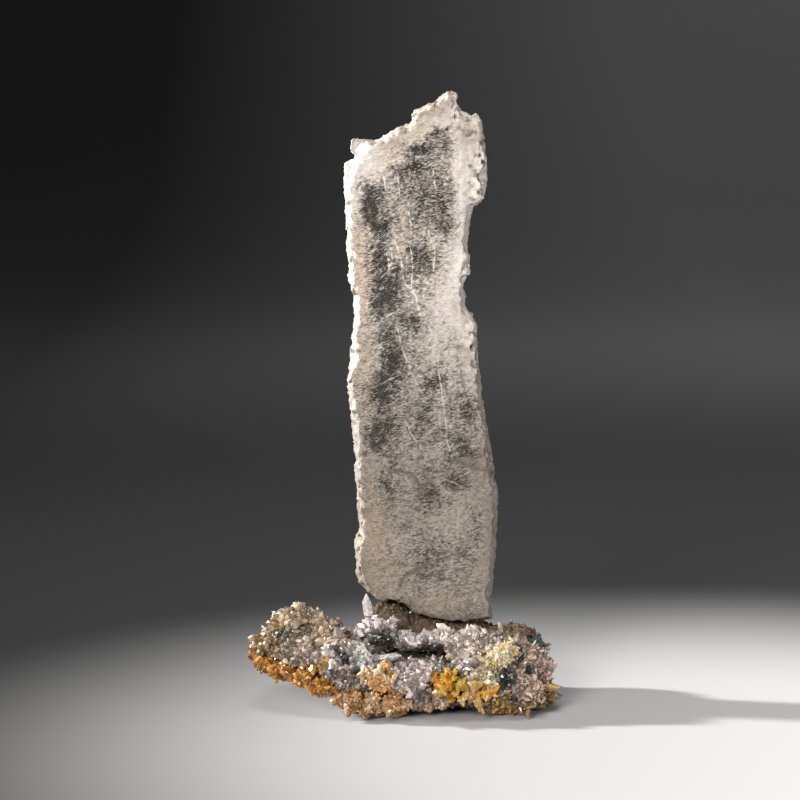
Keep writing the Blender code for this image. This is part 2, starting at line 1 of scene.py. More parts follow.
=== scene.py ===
"""A tall blade of selenite on its matrix, dressed: frosted and clear gypsum, brown host rock, and a
crust of small quartz crystals with orange, cream and dark green ones among them.

Lengths on the specimen are written in millimetres and turned into metres by MM. The studio's, of the
paper, the camera and the lamps, are in metres.
"""

import math

import bpy
import numpy as np
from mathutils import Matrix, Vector, kdtree, noise
from mathutils.bvhtree import BVHTree


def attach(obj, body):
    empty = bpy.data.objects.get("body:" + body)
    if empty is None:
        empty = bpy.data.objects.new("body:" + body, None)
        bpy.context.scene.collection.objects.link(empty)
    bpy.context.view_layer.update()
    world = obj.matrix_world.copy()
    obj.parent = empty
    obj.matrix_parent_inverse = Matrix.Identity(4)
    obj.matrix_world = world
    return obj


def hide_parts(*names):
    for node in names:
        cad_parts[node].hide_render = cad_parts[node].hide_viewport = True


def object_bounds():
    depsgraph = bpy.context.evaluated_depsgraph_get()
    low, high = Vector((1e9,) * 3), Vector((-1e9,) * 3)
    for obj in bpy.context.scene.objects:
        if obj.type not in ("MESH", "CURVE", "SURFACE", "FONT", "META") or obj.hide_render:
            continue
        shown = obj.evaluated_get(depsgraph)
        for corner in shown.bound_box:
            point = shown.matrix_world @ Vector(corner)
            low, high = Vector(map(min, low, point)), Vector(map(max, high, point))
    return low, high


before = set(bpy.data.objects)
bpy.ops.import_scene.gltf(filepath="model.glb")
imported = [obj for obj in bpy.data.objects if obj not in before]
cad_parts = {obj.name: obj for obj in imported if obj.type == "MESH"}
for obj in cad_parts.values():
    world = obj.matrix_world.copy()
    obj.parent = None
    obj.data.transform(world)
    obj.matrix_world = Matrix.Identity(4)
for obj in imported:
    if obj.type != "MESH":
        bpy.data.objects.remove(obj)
cad_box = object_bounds()

MM = 0.001

# The studio: a shallow bowl of seamless paper, with a pool of light painted on it under the specimen
# and painted shade, grey, further out. It is one turned sweep, so that every side of the specimen is
# seen against the same ground.
PAPER_LIGHT_FALLOFF = (
    (0.022, (0.62, 0.62, 0.63, 1.0)),
    (0.076, (0.038, 0.038, 0.039, 1.0)),
    (0.16, (0.036, 0.036, 0.037, 1.0)),
    (0.36, (0.125, 0.125, 0.127, 1.0)),
    (0.80, (0.18, 0.18, 0.183, 1.0)),
)
PAPER_REACH = 3.0
LIGHT_POOL_CENTRE = (0.075, -0.05, 0.0)
# Painted shade: the paper darkens to the left. Between those two x in metres its tone is scaled
# from one to other.
PAPER_SIDE_SHADE = (-0.20, 0.20, 0.22, 1.45)
PAPER_PROFILE = ((0.02, 0.0), (0.3, 0.0), (0.8, 0.0), (1.6, 0.0), (2.3, 0.25), (2.7, 1.0), (2.8, 2.2))
PAPER_STEPS = 96


def select_only(piece):
    """Leaves one object selected and active, as a click on it would."""
    bpy.ops.object.select_all(action="DESELECT")
    piece.select_set(True)
    bpy.context.view_layer.objects.active = piece


def new_material(name):
    """An empty node material: returns it with its nodes, its links and its Principled shader."""
    made = bpy.data.materials.new(name)
    made.use_nodes = True
    tree = made.node_tree
    return made, tree.nodes, tree.links, tree.nodes["Principled BSDF"]


def wear(piece, material):
    """Gives a piece that material alone."""
    piece.data.materials.clear()
    piece.data.materials.append(material)


def ramp_of(nodes, stops, interpolation="LINEAR"):
    """A colour ramp with those (position, colour) stops; a plain number makes a grey."""
    ramp = nodes.new("ShaderNodeValToRGB")
    ramp.color_ramp.interpolation = interpolation
    while len(ramp.color_ramp.elements) < len(stops):
        ramp.color_ramp.elements.new(0.5)
    for element, (position, colour) in zip(ramp.color_ramp.elements, stops):
        element.position = position
        element.color = colour if isinstance(colour, tuple) else (colour, colour, colour, 1.0)
    return ramp


bpy.ops.object.select_all(action="DESELECT")
bpy.ops.mesh.primitive_circle_add(vertices=PAPER_STEPS, radius=PAPER_PROFILE[0][0], fill_type="NGON")
paper = bpy.context.object
paper.name = "studio_paper"
bpy.ops.object.mode_set(mode="EDIT")
bpy.ops.mesh.select_mode(type="EDGE")
bpy.ops.mesh.select_all(action="SELECT")
for (inner, low), (outer, high) in zip(PAPER_PROFILE, PAPER_PROFILE[1:]):
    bpy.ops.mesh.extrude_edges_move(TRANSFORM_OT_translate={"value": (0, 0, high - low)})
    bpy.ops.transform.resize(value=(outer / inner, outer / inner, 1), center_override=(0, 0, high))
bpy.ops.object.mode_set(mode="OBJECT")
bpy.ops.object.shade_smooth()
paper.modifiers.new("Round", "SUBSURF").levels = 2
paper.modifiers["Round"].render_levels = 2

paper_look, nodes, links, shader = new_material("studio_paper")
place = nodes.new("ShaderNodeTexCoord")
centred = nodes.new("ShaderNodeMapping")
centred.vector_type = "TEXTURE"
centred.inputs["Location"].default_value = LIGHT_POOL_CENTRE
centred.inputs["Scale"].default_value = (PAPER_REACH, PAPER_REACH, PAPER_REACH)
reach = nodes.new("ShaderNodeVectorMath")
reach.operation = "LENGTH"
# Painted light: this ramp paints the pool of light under the specimen and the grey shade beyond it.
light_pool = ramp_of(nodes, PAPER_LIGHT_FALLOFF, "EASE")
links.new(place.outputs["Object"], centred.inputs["Vector"])
links.new(centred.outputs["Vector"], reach.inputs[0])
links.new(reach.outputs["Value"], light_pool.inputs["Fac"])
# Painted shade: the ramp's tone is scaled down towards the left.
sideways = nodes.new("ShaderNodeSeparateXYZ")
darker = nodes.new("ShaderNodeMapRange")
for socket, number in zip(list(darker.inputs)[1:5], PAPER_SIDE_SHADE):
    socket.default_value = number
shaded = nodes.new("ShaderNodeVectorMath")
shaded.operation = "SCALE"
links.new(place.outputs["Object"], sideways.inputs[0])
links.new(sideways.outputs["X"], darker.inputs[0])
links.new(light_pool.outputs["Color"], shaded.inputs[0])
links.new(darker.outputs[0], shaded.inputs["Scale"])
links.new(shaded.outputs[0], shader.inputs["Base Color"])
shader.inputs["Roughness"].default_value = 0.9
shader.inputs["Specular IOR Level"].default_value = 0.1
wear(paper, paper_look)

# The camera stands where the photograph's stood: square to the blade's face, a little above it.
# Places on the specimen are written from an origin that has the blade's nearest left corner at
# BLADE_CORNER, in x and y; where that origin lies now is read from the frame.
BLADE_CORNER = np.array((-16.66, 1.78, 0.0))
blade_points = np.array([point.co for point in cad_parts["selenite_blade"].data.vertices]) / MM
origin = (blade_points.min(axis=0) - BLADE_CORNER) * (1.0, 1.0, 0.0)
CAMERA_ELEVATION = math.radians(7.0)
CAMERA_DISTANCE = 0.80
CAMERA_TARGET = Vector((-1.8, 2.2, 79.8) + origin) * MM
FRAME_WIDTH = 0.208
SENSOR_WIDTH = 36.0

camera_data = bpy.data.cameras.new("camera")
camera_data.sensor_width = SENSOR_WIDTH
camera_data.lens = SENSOR_WIDTH * CAMERA_DISTANCE / FRAME_WIDTH
camera = bpy.data.objects.new("camera", camera_data)
bpy.context.scene.collection.objects.link(camera)
back_off = Vector((0.0, -math.cos(CAMERA_ELEVATION), math.sin(CAMERA_ELEVATION)))
camera.location = CAMERA_TARGET + back_off * CAMERA_DISTANCE
camera.rotation_euler = (math.radians(90.0) - CAMERA_ELEVATION, 0.0, 0.0)
bpy.context.scene.camera = camera

# The lamps: a low one from the left and a little behind, which lights the blade's left rim and
# throws its shadow to the right, a large one overhead, and a weak one from the front.
LAMPS = (
    ("rim_lamp", (-0.95, 0.20, 0.38), 0.07, 23.0, (1.0, 0.985, 0.96)),
    ("top_lamp", (-0.10, -0.25, 1.10), 0.50, 3.6, (1.0, 0.99, 0.98)),
    ("front_lamp", (-0.36, -0.86, 0.40), 0.36, 8.5, (1.0, 0.97, 0.94)),
    ("right_lamp", (0.95, -0.50, 0.30), 0.40, 3.5, (1.0, 0.96, 0.92)),
)
AIM = Vector((0.0, 0.0, 0.07))
for name, spot, side, power, colour in LAMPS:
    lamp_data = bpy.data.lights.new(name, "AREA")
    lamp_data.shape = "DISK"
    lamp_data.size = side
    lamp_data.energy = power
    lamp_data.color = colour
    lamp = bpy.data.objects.new(name, lamp_data)
    lamp.location = spot
    lamp.rotation_euler = (AIM - Vector(spot)).to_track_quat("-Z", "Y").to_euler()
    bpy.context.scene.collection.objects.link(lamp)

world = bpy.data.worlds.new("studio")
world.use_nodes = True
world.node_tree.nodes["Background"].inputs["Color"].default_value = (0.5, 0.5, 0.52, 1.0)
world.node_tree.nodes["Background"].inputs["Strength"].default_value = 0.12
bpy.context.scene.world = world
bpy.context.scene.view_settings.view_transform = "Standard"

# The selenite blade: one flat crystal of gypsum, frosted by etching, with clear windows in it. Its
# rims are bevelled and sugary white, and its right edge and top carry lumps of regrown gypsum.
BLADE_VOXEL = 0.5 * MM


def merged_copy(node, name):
    """A new object with a copy of a CAD node's mesh, its loose triangles merged into one skin."""
    piece = bpy.data.objects.new(name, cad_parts[node].data.copy())
    bpy.context.scene.collection.objects.link(piece)
    select_only(piece)
    bpy.ops.object.mode_set(mode="EDIT")
    bpy.ops.mesh.select_all(action="SELECT")
    bpy.ops.mesh.remove_doubles(threshold=0.005 * MM)
    bpy.ops.mesh.normals_make_consistent(inside=False)
    bpy.ops.object.mode_set(mode="OBJECT")
    return piece


def apply_modifier(piece, name, kind, **settings):
    """Adds a modifier with those settings and applies it at once."""
    modifier = piece.modifiers.new(name, kind)
    for key, value in settings.items():
        setattr(modifier, key, value)
    select_only(piece)
    bpy.ops.object.modifier_apply(modifier=name)


def measured(places):
    """Places in metres, as millimetres from the origin that the places on the specimen use."""
    return places / MM - origin


def points_and_normals(piece):
    """The piece's points and normals as two arrays, in metres."""
    mesh = piece.data
    places = np.zeros(len(mesh.vertices) * 3)
    mesh.vertices.foreach_get("co", places)
    normals = np.zeros(len(mesh.vertices) * 3)
    mesh.vertex_normals.foreach_get("vector", normals)
    return places.reshape(-1, 3), normals.reshape(-1, 3)


def move_points(piece, places):
    """Puts the piece's points at those places, in metres."""
    piece.data.vertices.foreach_set("co", places.ravel())
    piece.data.update()


def paint(piece, name, values):
    """Writes one number for each point of the piece, for its material to read."""
    layer = piece.data.attributes.new(name, "FLOAT", "POINT")
    layer.data.foreach_set("value", np.asarray(values, dtype=np.float32))


def roughness_at(places, size, seed, octaves=3):
    """Fractal noise of that size in millimetres at every point, about -1 to 1."""
    scaled = places / (size * MM) + np.array((seed, seed * 0.37, seed * 0.71))
    return np.array([noise.fractal(Vector(spot), 0.7, 2.1, octaves) for spot in scaled])


blade = merged_copy("selenite_blade", "selenite_crystal")
apply_modifier(blade, "Skin", "REMESH", mode="VOXEL", voxel_size=BLADE_VOXEL, use_smooth_shade=True)

# What the blade shows where, as soft-edged patches on its face: x, z, half width, half height and
# strength. Clear windows look through to the ground behind, milky ones are healed white and, at the
# upper left corner, a painted highlight where the corner catches the light from the left, warm ones
# are tinted by clay, stains are rust brown, and ledges are knobbly regrown gypsum.
BLADE_PATCHES = {
    "clear": (
        (-9.4, 130.4, 3.0, 5.6, 1.0),
        (-7.0, 124.0, 3.0, 4.2, 0.8),
        (-6.0, 116.0, 3.2, 4.0, 0.75),
        (-5.2, 108.6, 3.8, 7.0, 0.9),
        (-3.6, 97.0, 2.4, 3.4, 0.6),
        (-3.6, 90.8, 2.6, 4.6, 0.75),
        (-5.6, 82.4, 4.0, 4.6, 0.8),
        (-6.4, 71.0, 3.2, 6.8, 0.75),
        (-5.0, 58.0, 2.8, 7.0, 0.5),
        (7.4, 148.8, 4.6, 3.4, 0.75),
        (3.0, 144.0, 4.2, 2.6, 0.6),
        (1.4, 139.4, 7.6, 2.4, 0.62),
        (6.0, 131.0, 8.0, 9.0, 0.5),
        (10.8, 125.4, 3.4, 2.4, 0.55),
        (4.0, 116.0, 4.6, 4.0, 0.55),
        (0.4, 99.6, 3.6, 3.0, 0.6),
        (7.2, 84.0, 2.8, 4.0, 0.62),
        (4.6, 76.0, 3.0, 6.0, 0.5),
        (15.4, 78.0, 5.4, 3.4, 0.45),
        (15.8, 66.8, 3.6, 3.2, 0.6),
        (13.0, 58.6, 3.6, 3.0, 0.7),
        (6.4, 53.6, 3.6, 5.0, 0.55),
        (20.2, 46.0, 3.4, 8.0, 0.5),
        (7.4, 38.0, 11.0, 7.0, 0.42),
    ),
    "milky_and_highlight": (
        (14.4, 113.0, 3.6, 11.0, 1.0),
        (12.6, 104.0, 5.0, 9.0, 0.9),
        (9.0, 96.0, 5.5, 12.0, 0.45),
        (15.6, 124.0, 3.0, 9.0, 0.9),
        # Painted highlight: these two at the upper left corner are white where the corner catches the
        # light.
        (-12.5, 141.6, 6.0, 5.0, 1.0),
        (-13.4, 132.0, 2.2, 5.0, 0.8),
        (14.0, 138.0, 1.6, 14.0, 1.0),
        (18.6, 142.0, 3.6, 12.0, 0.9),
        (1.0, 152.0, 9.0, 3.0, 0.5),
        (11.0, 45.0, 7.0, 8.0, 0.2),
    ),
    "warm": (
        (-12.4, 116.0, 2.6, 16.0, 0.9),
        (-11.0, 84.0, 2.6, 16.0, 0.6),
        (-8.6, 45.0, 5.0, 17.0, 1.0),
        (-6.0, 34.0, 6.0, 8.0, 0.8),
        (2.0, 150.0, 8.0, 2.8, 0.9),
        (-6.4, 141.6, 5.0, 3.4, 0.8),
        (-1.6, 124.0, 3.0, 6.0, 0.35),
        (4.6, 120.0, 4.0, 4.0, 0.4),
        (12.0, 44.0, 12.0, 14.0, 0.4),
        (4.0, 27.0, 14.0, 5.0, 0.6),
    ),
    "stain": (
        (14.6, 150.0, 1.6, 3.4, 1.0),
        (16.6, 147.0, 1.2, 2.2, 0.7),
        (10.4, 155.0, 1.6, 2.2, 0.6),
        (12.4, 103.6, 1.2, 2.6, 0.5),
        (14.6, 101.0, 1.0, 2.0, 0.5),
        (19.4, 97.0, 1.4, 3.2, 0.8),
        (17.2, 93.5, 2.4, 1.4, 0.9),
        (20.2, 88.0, 0.9, 4.0, 0.6),
        (18.6, 64.0, 2.4, 1.4, 0.55),
        (16.6, 62.6, 4.2, 0.9, 0.6),
        (4.6, 56.4, 2.2, 0.9, 0.6),
        (6.0, 54.4, 1.4, 0.9, 0.6),
        (-12.4, 50.4, 1.1, 1.6, 0.9),
        (-11.6, 34.0, 2.0, 4.0, 0.45),
        (-13.0, 95.5, 1.6, 0.9, 0.4),
        (22.0, 46.0, 0.6, 2.6, 0.7),
        (0.0, 21.0, 16.0, 3.0, 0.45),
    ),
    "sandy": (
        (-6.0, 147.4, 4.0, 2.4, 1.0),
        (0.0, 151.0, 6.0, 2.8, 1.0),
        (5.3, 155.6, 5.0, 3.4, 1.0),
        (10.3, 158.6, 3.0, 3.0, 0.6),
        (19.0, 150.0, 5.0, 8.0, 0.5),
        (22.0, 60.0, 3.0, 40.0, 0.6),
        (-12.0, 22.0, 4.0, 8.0, 0.7),
    ),
    "ledge": (
        (18.8, 142.0, 3.4, 12.0, 1.0),
        (13.0, 153.6, 3.6, 4.4, 0.9),
        (17.8, 96.0, 3.0, 11.0, 0.7),
        (-12.6, 145.6, 3.0, 2.6, 0.9),
        (1.0, 151.6, 9.0, 2.6, 0.5),
        (16.0, 112.0, 2.2, 8.0, 0.5),
    ),
}
BASE_CLEARNESS = 0.40

# The cut corner: a place on its inner edge as x, z, its direction across the face, its slope, and
# how far from that edge the slope still falls.
CORNER_AT = (-9.3, 141.6)
CORNER_TURN = (0.83, 0.56)
CORNER_SLOPE = 0.7
CORNER_DEEPEST = 6.0

# The pale upright ridge near the right edge, and how wide the bevel's uneven strip is.
RIDGE_X = 14.0
RIDGE_MIDDLE_Z = 138.0
RIDGE_HALF_HEIGHT = 13.0
BEVEL_STRIP = 0.6
WHITE_STRIP = 1.4

# A point is on the rim if its normal has less than RIM_FACING of front or back in it, and on the
# front face if the normal's y is below FACE_FACING. RIM_REACH is how far in the rim's roughness
# fades, BEVEL_REACH how far the solid's bevel goes, and the rim's white is full from WHITEST_HEIGHT
# up and dimmed below it as painted shade.
RIM_FACING = 0.3
RIM_REACH = 2.2
BEVEL_REACH = 6.0
WHITEST_HEIGHT = 120.0
FACE_FACING = -0.98

# Healed cracks, each a line of x, z places on the face.
BLADE_CRACKS = (
    ((-3.1, 121.2), (-1.6, 116.8), (-0.8, 110.5), (2.3, 106.8), (3.6, 101.0)),
    ((-2.4, 98.2), (-0.8, 92.0), (1.0, 87.2), (3.6, 82.2)),
    ((7.8, 90.0), (8.8, 83.8), (10.0, 74.9), (10.7, 68.0), (12.0, 64.4)),
    ((-0.8, 75.4), (1.0, 71.0), (3.6, 67.3)),
    ((5.4, 123.8), (7.3, 118.6), (6.8, 114.2)),
    ((-6.3, 101.0), (-2.1, 103.2)),
    ((-8.1, 83.3), (-3.7, 85.4)),
    ((-6.5, 139.3), (-5.5, 134.9)),
    ((-5.8, 141.1), (-1.1, 142.8), (4.1, 142.8)),
    ((0.3, 130.7), (1.0, 125.4)),
    ((-5.2, 118.0), (-4.6, 113.6), (-6.2, 112.0)),
    ((9.9, 59.0), (14.0, 57.2)),
    ((1.1, 118.5), (1.5, 114.1), (1.1, 109.4), (2.8, 105.9)),
    ((-2.3, 138.0), (-2.1, 133.3)),
    ((-4.1, 118.5), (-3.7, 116.3), (-4.5, 114.6)),
    ((6.7, 139.3), (7.1, 135.9)),
)

# Seams of rust and clay inside the crystal, as lines like the cracks.
BLADE_SEAMS = (
    ((11.7, 64.4), (16.6, 62.3), (20.8, 61.0)),
    ((-1.8, 30.8), (-0.8, 33.2), (2.6, 35.3), (7.0, 36.1)),
    ((-4.7, 61.5), (1.0, 60.5), (5.5, 55.0)),
    ((13.2, 93.3), (16.1, 93.1), (16.8, 90.9), (17.7, 89.0)),
    ((14.1, 86.0), (14.6, 83.6)),
    ((22.3, 47.8), (22.5, 44.9)),
)


def patches_at(places, patches, wobble):
    """How strongly any of the patches covers each point, from 0 to 1, with a wandering edge."""
    x = measured(places)[:, 0] + 1.2 * wobble
    z = measured(places)[:, 2] + 2.0 * np.roll(wobble, 1)
    cover = np.zeros(len(places))
    for middle_x, middle_z, half_width, half_height, strength in patches:
        reach = ((x - middle_x) / half_width) ** 2 + ((z - middle_z) / half_height) ** 2
        cover = np.maximum(cover, strength * np.exp(-0.8 * reach))
    return cover


def crack_field(places, cracks):
    """The signed distance in millimetres of each point from its nearest crack, seen from the front."""
    here = measured(places)[:, (0, 2)]
    nearest = np.full(len(here), 99.0)
    signed = np.full(len(here), 99.0)
    for crack in cracks:
        for start, end in zip(crack, crack[1:]):
            start, along = np.array(start), np.array(end) - np.array(start)
            share = np.clip((here - start) @ along / (along @ along), 0.0, 1.0)
            apart = here - start - share[:, None] * along
            distance = np.linalg.norm(apart, axis=1)
            side = np.sign(along[0] * apart[:, 1] - along[1] * apart[:, 0])
            closer = distance < nearest
            nearest[closer] = distance[closer]
            signed[closer] = (distance * side)[closer]
    return signed


def tree_from_front(places, chosen):
    """A search tree of the chosen points as they lie seen from the front, whatever their depth."""
    tree = kdtree.KDTree(len(chosen))
    for index in chosen:
        tree.insert((places[index][0], 0.0, places[index][2]), int(index))
    tree.balance()
    return tree


places, normals = points_and_normals(blade)
rim_tree = tree_from_front(places, np.nonzero(np.abs(normals[:, 1]) < RIM_FACING)[0])
nearest = [rim_tree.find((x, 0.0, z)) for x, _, z in places]
from_rim = np.array([found[2] for found in nearest]) / MM
rim_turn = normals[[found[1] for found in nearest]]
on_rim = np.clip(1.0 - from_rim / RIM_REACH, 0.0, 1.0)
# The rim's white is partly its own sugary white and partly painted light: whitest high up at the
# left, where the light falls, half as white at the right, and plain along the foot, which is in shade.
rim_white_and_light = np.clip(-1.5 * rim_turn[:, 0], 0.0, 1.0) + 0.5 * np.clip(rim_turn[:, 0], 0.0, 1.0)
rim_white_and_light *= np.clip(1.0 + 2.0 * rim_turn[:, 2], 0.0, 1.0)
rim_white_and_light *= np.clip(1.0 - 1.2 * rim_turn[:, 2], 0.0, 1.0)
rim_white_and_light *= np.clip(places[:, 2] / MM / WHITEST_HEIGHT, 0.45, 1.0)
white_rim_cover = rim_white_and_light * np.clip(1.3 - from_rim / WHITE_STRIP, 0.0, 1.0)
lumps = roughness_at(places, 5.0, 1.0)
grit = roughness_at(places, 1.3, 2.0)
etch = roughness_at(places, 1.1, 3.0)
scallops = roughness_at(places, 2.6, 5.0, 2)
ledge = patches_at(places, BLADE_PATCHES["ledge"], lumps)
pits = np.clip(roughness_at(places, 2.0, 4.0) * 2.8 - 0.6, 0.0, 1.0)
pits *= np.clip(measured(places)[:, 0] / 5.0, 0.0, 1.0)
rough = np.maximum(on_rim, ledge)
rise = rough * (0.4 * lumps + 0.40 * grit + 0.40 * scallops - 0.35)
rise += (1.0 - rough) * (0.10 * etch + 0.16 * lumps)
rise -= 1.1 * ledge * pits
front = np.clip(-normals[:, 1] * 2.0, 0.0, 1.0)
on_ridge = np.exp(-(measured(places)[:, 0] - RIDGE_X - 0.5 * lumps) ** 2)
on_ridge *= np.clip(1.2 - np.abs(places[:, 2] / MM - RIDGE_MIDDLE_Z) / RIDGE_HALF_HEIGHT, 0.0, 1.0)
rise += 0.9 * front * on_ridge
moved = places + normals * (rise * MM)[:, None]
# The front bevel is narrowed to an uneven strip, by drawing its inner part out to the face.
face_points = np.nonzero(normals[:, 1] < FACE_FACING)[0]
face_tree = tree_from_front(places, face_points)
inward = np.clip((from_rim + 0.8 * scallops + 0.4 * grit - BEVEL_STRIP) / 0.5, 0.0, 1.0)
for index in np.nonzero((normals[:, 1] < -0.15) & (from_rim < BEVEL_REACH) & (inward > 0.0))[0]:
    flush = places[face_tree.find((places[index][0], 0.0, places[index][2]))[1]][1]
    moved[index, 1] += inward[index] * min(flush - places[index][1], 0.0)
# The upper left corner is cut back in a facet, which catches the light from the left.
corner = np.clip(((CORNER_AT[0] - measured(moved)[:, 0]) * CORNER_TURN[0]
                  + (moved[:, 2] / MM - CORNER_AT[1]) * CORNER_TURN[1]) + 0.9 * lumps,
                 0.0, CORNER_DEEPEST)
facet = np.median(places[face_points, 1]) + (CORNER_SLOPE * corner + 0.25 * grit) * MM
cut = (corner > 0.0) & (normals[:, 1] < 0.1)
moved[cut, 1] = np.maximum(moved[cut, 1], facet[cut])
move_points(blade, moved)
# The rim paint also covers the cut corner, painted white as a highlight where it catches the light.
paint(blade, "rim", np.maximum(white_rim_cover, np.clip(corner, 0.0, 1.0)))
paint(blade, "pits", ledge * pits)
paint(blade, "crack", crack_field(places, BLADE_CRACKS) + 0.22 * grit)
paint(blade, "seam", crack_field(places, BLADE_SEAMS) + 0.45 * grit)
for name, patches in BLADE_PATCHES.items():
    paint(blade, name, patches_at(places, patches, lumps))


def noise_of(nodes, links, source, size, turn=(0.0, 0.0, 0.0), stretch=(1.0, 1.0, 1.0), detail=3.0):
    """A noise whose grains are that many millimetres, turned and stretched; returns its output."""
    mapping = nodes.new("ShaderNodeMapping")
    mapping.vector_type = "TEXTURE"
    mapping.inputs["Rotation"].default_value = [math.radians(angle) for angle in turn]
    mapping.inputs["Scale"].default_value = [size * MM * part for part in stretch]
    pattern = nodes.new("ShaderNodeTexNoise")
    pattern.inputs["Scale"].default_value = 1.0
    pattern.inputs["Detail"].default_value = detail
    links.new(source, mapping.inputs["Vector"])
    links.new(mapping.outputs["Vector"], pattern.inputs["Vector"])
    return pattern.outputs["Fac"]


def attribute_of(nodes, name):
    """A number painted on the piece."""
    node = nodes.new("ShaderNodeAttribute")
    node.attribute_name = name
    return node.outputs["Fac"]


def math_of(nodes, links, operation, first, second=0.5, clamp=False):
    """One Math node on two outputs or numbers; returns its output."""
    node = nodes.new("ShaderNodeMath")
    node.operation = operation
    node.use_clamp = clamp
    for socket, value in zip(node.inputs, (first, second)):
        if isinstance(value, (int, float)):
            socket.default_value = value
        else:
            links.new(value, socket)
    return node.outputs[0]


def mix_of(nodes, links, factor, first, second, blend="MIX"):
    """One colour Mix node on outputs or colours; returns its output."""
    node = nodes.new("ShaderNodeMix")
    node.data_type = "RGBA"
    node.blend_type = blend
    node.clamp_factor = True
    for socket, value in ((node.inputs[0], factor), (node.inputs[6], first), (node.inputs[7], second)):
        if isinstance(value, (int, float, tuple)):
            socket.default_value = value
        else:
            links.new(value, socket)
    return node.outputs[2]


def spread_of(nodes, links, value, low, high, to_low=0.0, to_high=1.0):
    """Maps low to high on to to_low to to_high, held at both ends; returns its output."""
    node = nodes.new("ShaderNodeMapRange")
    node.clamp = True
    for socket, number in zip(list(node.inputs)[1:5], (low, high, to_low, to_high)):
        socket.default_value = number
    links.new(value, node.inputs[0])
    return node.outputs[0]


SELENITE_IOR = 1.52
selenite, nodes, links, shader = new_material("selenite")
place = nodes.new("ShaderNodeTexCoord").outputs["Object"]
dashes = noise_of(nodes, links, place, 0.25, (0.0, -22.0, 0.0), (3.8, 1.0, 0.9), 2.0)
flecks = noise_of(nodes, links, place, 0.30, (0.0, -6.0, 0.0), (2.6, 1.0, 1.0), 2.5)
mottle = noise_of(nodes, links, place, 1.1, (0.0, -8.0, 0.0), (1.4, 1.0, 1.0), 4.0)
clouds = noise_of(nodes, links, place, 5.0, (0.0, 0.0, 0.0), (0.9, 1.0, 1.6), 3.0)
cleave = noise_of(nodes, links, place, 1.1, (0.0, 4.0, 0.0), (0.8, 1.0, 26.0), 3.0)

rim = attribute_of(nodes, "rim")
milky_and_highlight = attribute_of(nodes, "milky_and_highlight")
warm = attribute_of(nodes, "warm")
ledge = attribute_of(nodes, "ledge")
sandy = attribute_of(nodes, "sandy")
clear = math_of(nodes, links, "ADD", attribute_of(nodes, "clear"), BASE_CLEARNESS)
clear = math_of(nodes, links, "ADD", clear, spread_of(nodes, links, clouds, 0.30, 0.70, -0.18, 0.18))
for cover, weight in ((warm, 0.30), (milky_and_highlight, 0.55), (rim, 1.2), (ledge, 0.9), (sandy, 0.8)):
    clear = math_of(nodes, links, "SUBTRACT", clear, math_of(nodes, links, "MULTIPLY", cover, weight))

# Frost lies on the face in short etched dashes, close together except over the windows.
streaks = math_of(nodes, links, "MULTIPLY", math_of(nodes, links, "ADD", dashes, flecks), 0.5)
grain = math_of(nodes, links, "ADD", math_of(nodes, links, "MULTIPLY", streaks, 0.75),
                math_of(nodes, links, "MULTIPLY", mottle, 0.25))
frost = spread_of(nodes, links, math_of(nodes, links, "SUBTRACT", grain,
                                        math_of(nodes, links, "MULTIPLY", clear, 0.25)), 0.27, 0.43)
crack = math_of(nodes, links, "ABSOLUTE", attribute_of(nodes, "crack"))
healed = math_of(nodes, links, "MULTIPLY", spread_of(nodes, links, crack, 0.06, 0.30, 1.0, 0.0),
                 spread_of(nodes, links, mottle, 0.32, 0.50))
frost = math_of(nodes, links, "MAXIMUM", frost, healed)

# Frost is grey to lilac white in itself, warmer where clay has got in, and white where it healed.
# Down the blade the colour is darkened as painted shade, where less light falls.
tone = spread_of(nodes, links, grain, 0.40, 0.62)
grey = mix_of(nodes, links, tone, (0.19, 0.155, 0.13, 1.0), (0.80, 0.71, 0.64, 1.0))
beige = mix_of(nodes, links, tone, (0.42, 0.31, 0.215, 1.0), (0.84, 0.69, 0.54, 1.0))
colour = mix_of(nodes, links, warm, grey, beige)
white = mix_of(nodes, links, tone, (0.74, 0.65, 0.58, 1.0), (0.97, 0.93, 0.88, 1.0))
colour = mix_of(nodes, links, milky_and_highlight, colour, white)
colour = mix_of(nodes, links, healed, colour, (0.88, 0.80, 0.72, 1.0))
veins = spread_of(nodes, links, cleave, 0.60, 0.70)
colour = mix_of(nodes, links, math_of(nodes, links, "MULTIPLY", veins, 0.35), colour,
                (0.88, 0.79, 0.70, 1.0))
rust = math_of(nodes, links, "MULTIPLY", attribute_of(nodes, "stain"),
               spread_of(nodes, links, mottle, 0.30, 0.50))
colour = mix_of(nodes, links, rust, colour, (0.24, 0.135, 0.06, 1.0))
seam = math_of(nodes, links, "ABSOLUTE", attribute_of(nodes, "seam"))
clay = math_of(nodes, links, "MULTIPLY", spread_of(nodes, links, seam, 0.15, 0.95, 0.95, 0.0),
               spread_of(nodes, links, mottle, 0.28, 0.48))
colour = mix_of(nodes, links, clay, colour, (0.20, 0.13, 0.075, 1.0))
cream = mix_of(nodes, links, spread_of(nodes, links, mottle, 0.36, 0.52),
               (0.66, 0.55, 0.45, 1.0), (0.98, 0.93, 0.88, 1.0))
colour = mix_of(nodes, links, math_of(nodes, links, "MULTIPLY", ledge, 0.85), colour, cream)
white_rim = mix_of(nodes, links, tone, (0.48, 0.42, 0.37, 1.0), (0.80, 0.765, 0.73, 1.0))
beige_rim = mix_of(nodes, links, tone, (0.28, 0.20, 0.145, 1.0), (0.62, 0.53, 0.44, 1.0))
colour = mix_of(nodes, links, math_of(nodes, links, "MULTIPLY", sandy, 0.9),
                colour, beige_rim)
colour = mix_of(nodes, links, math_of(nodes, links, "MULTIPLY", rim, 0.9), colour, white_rim)
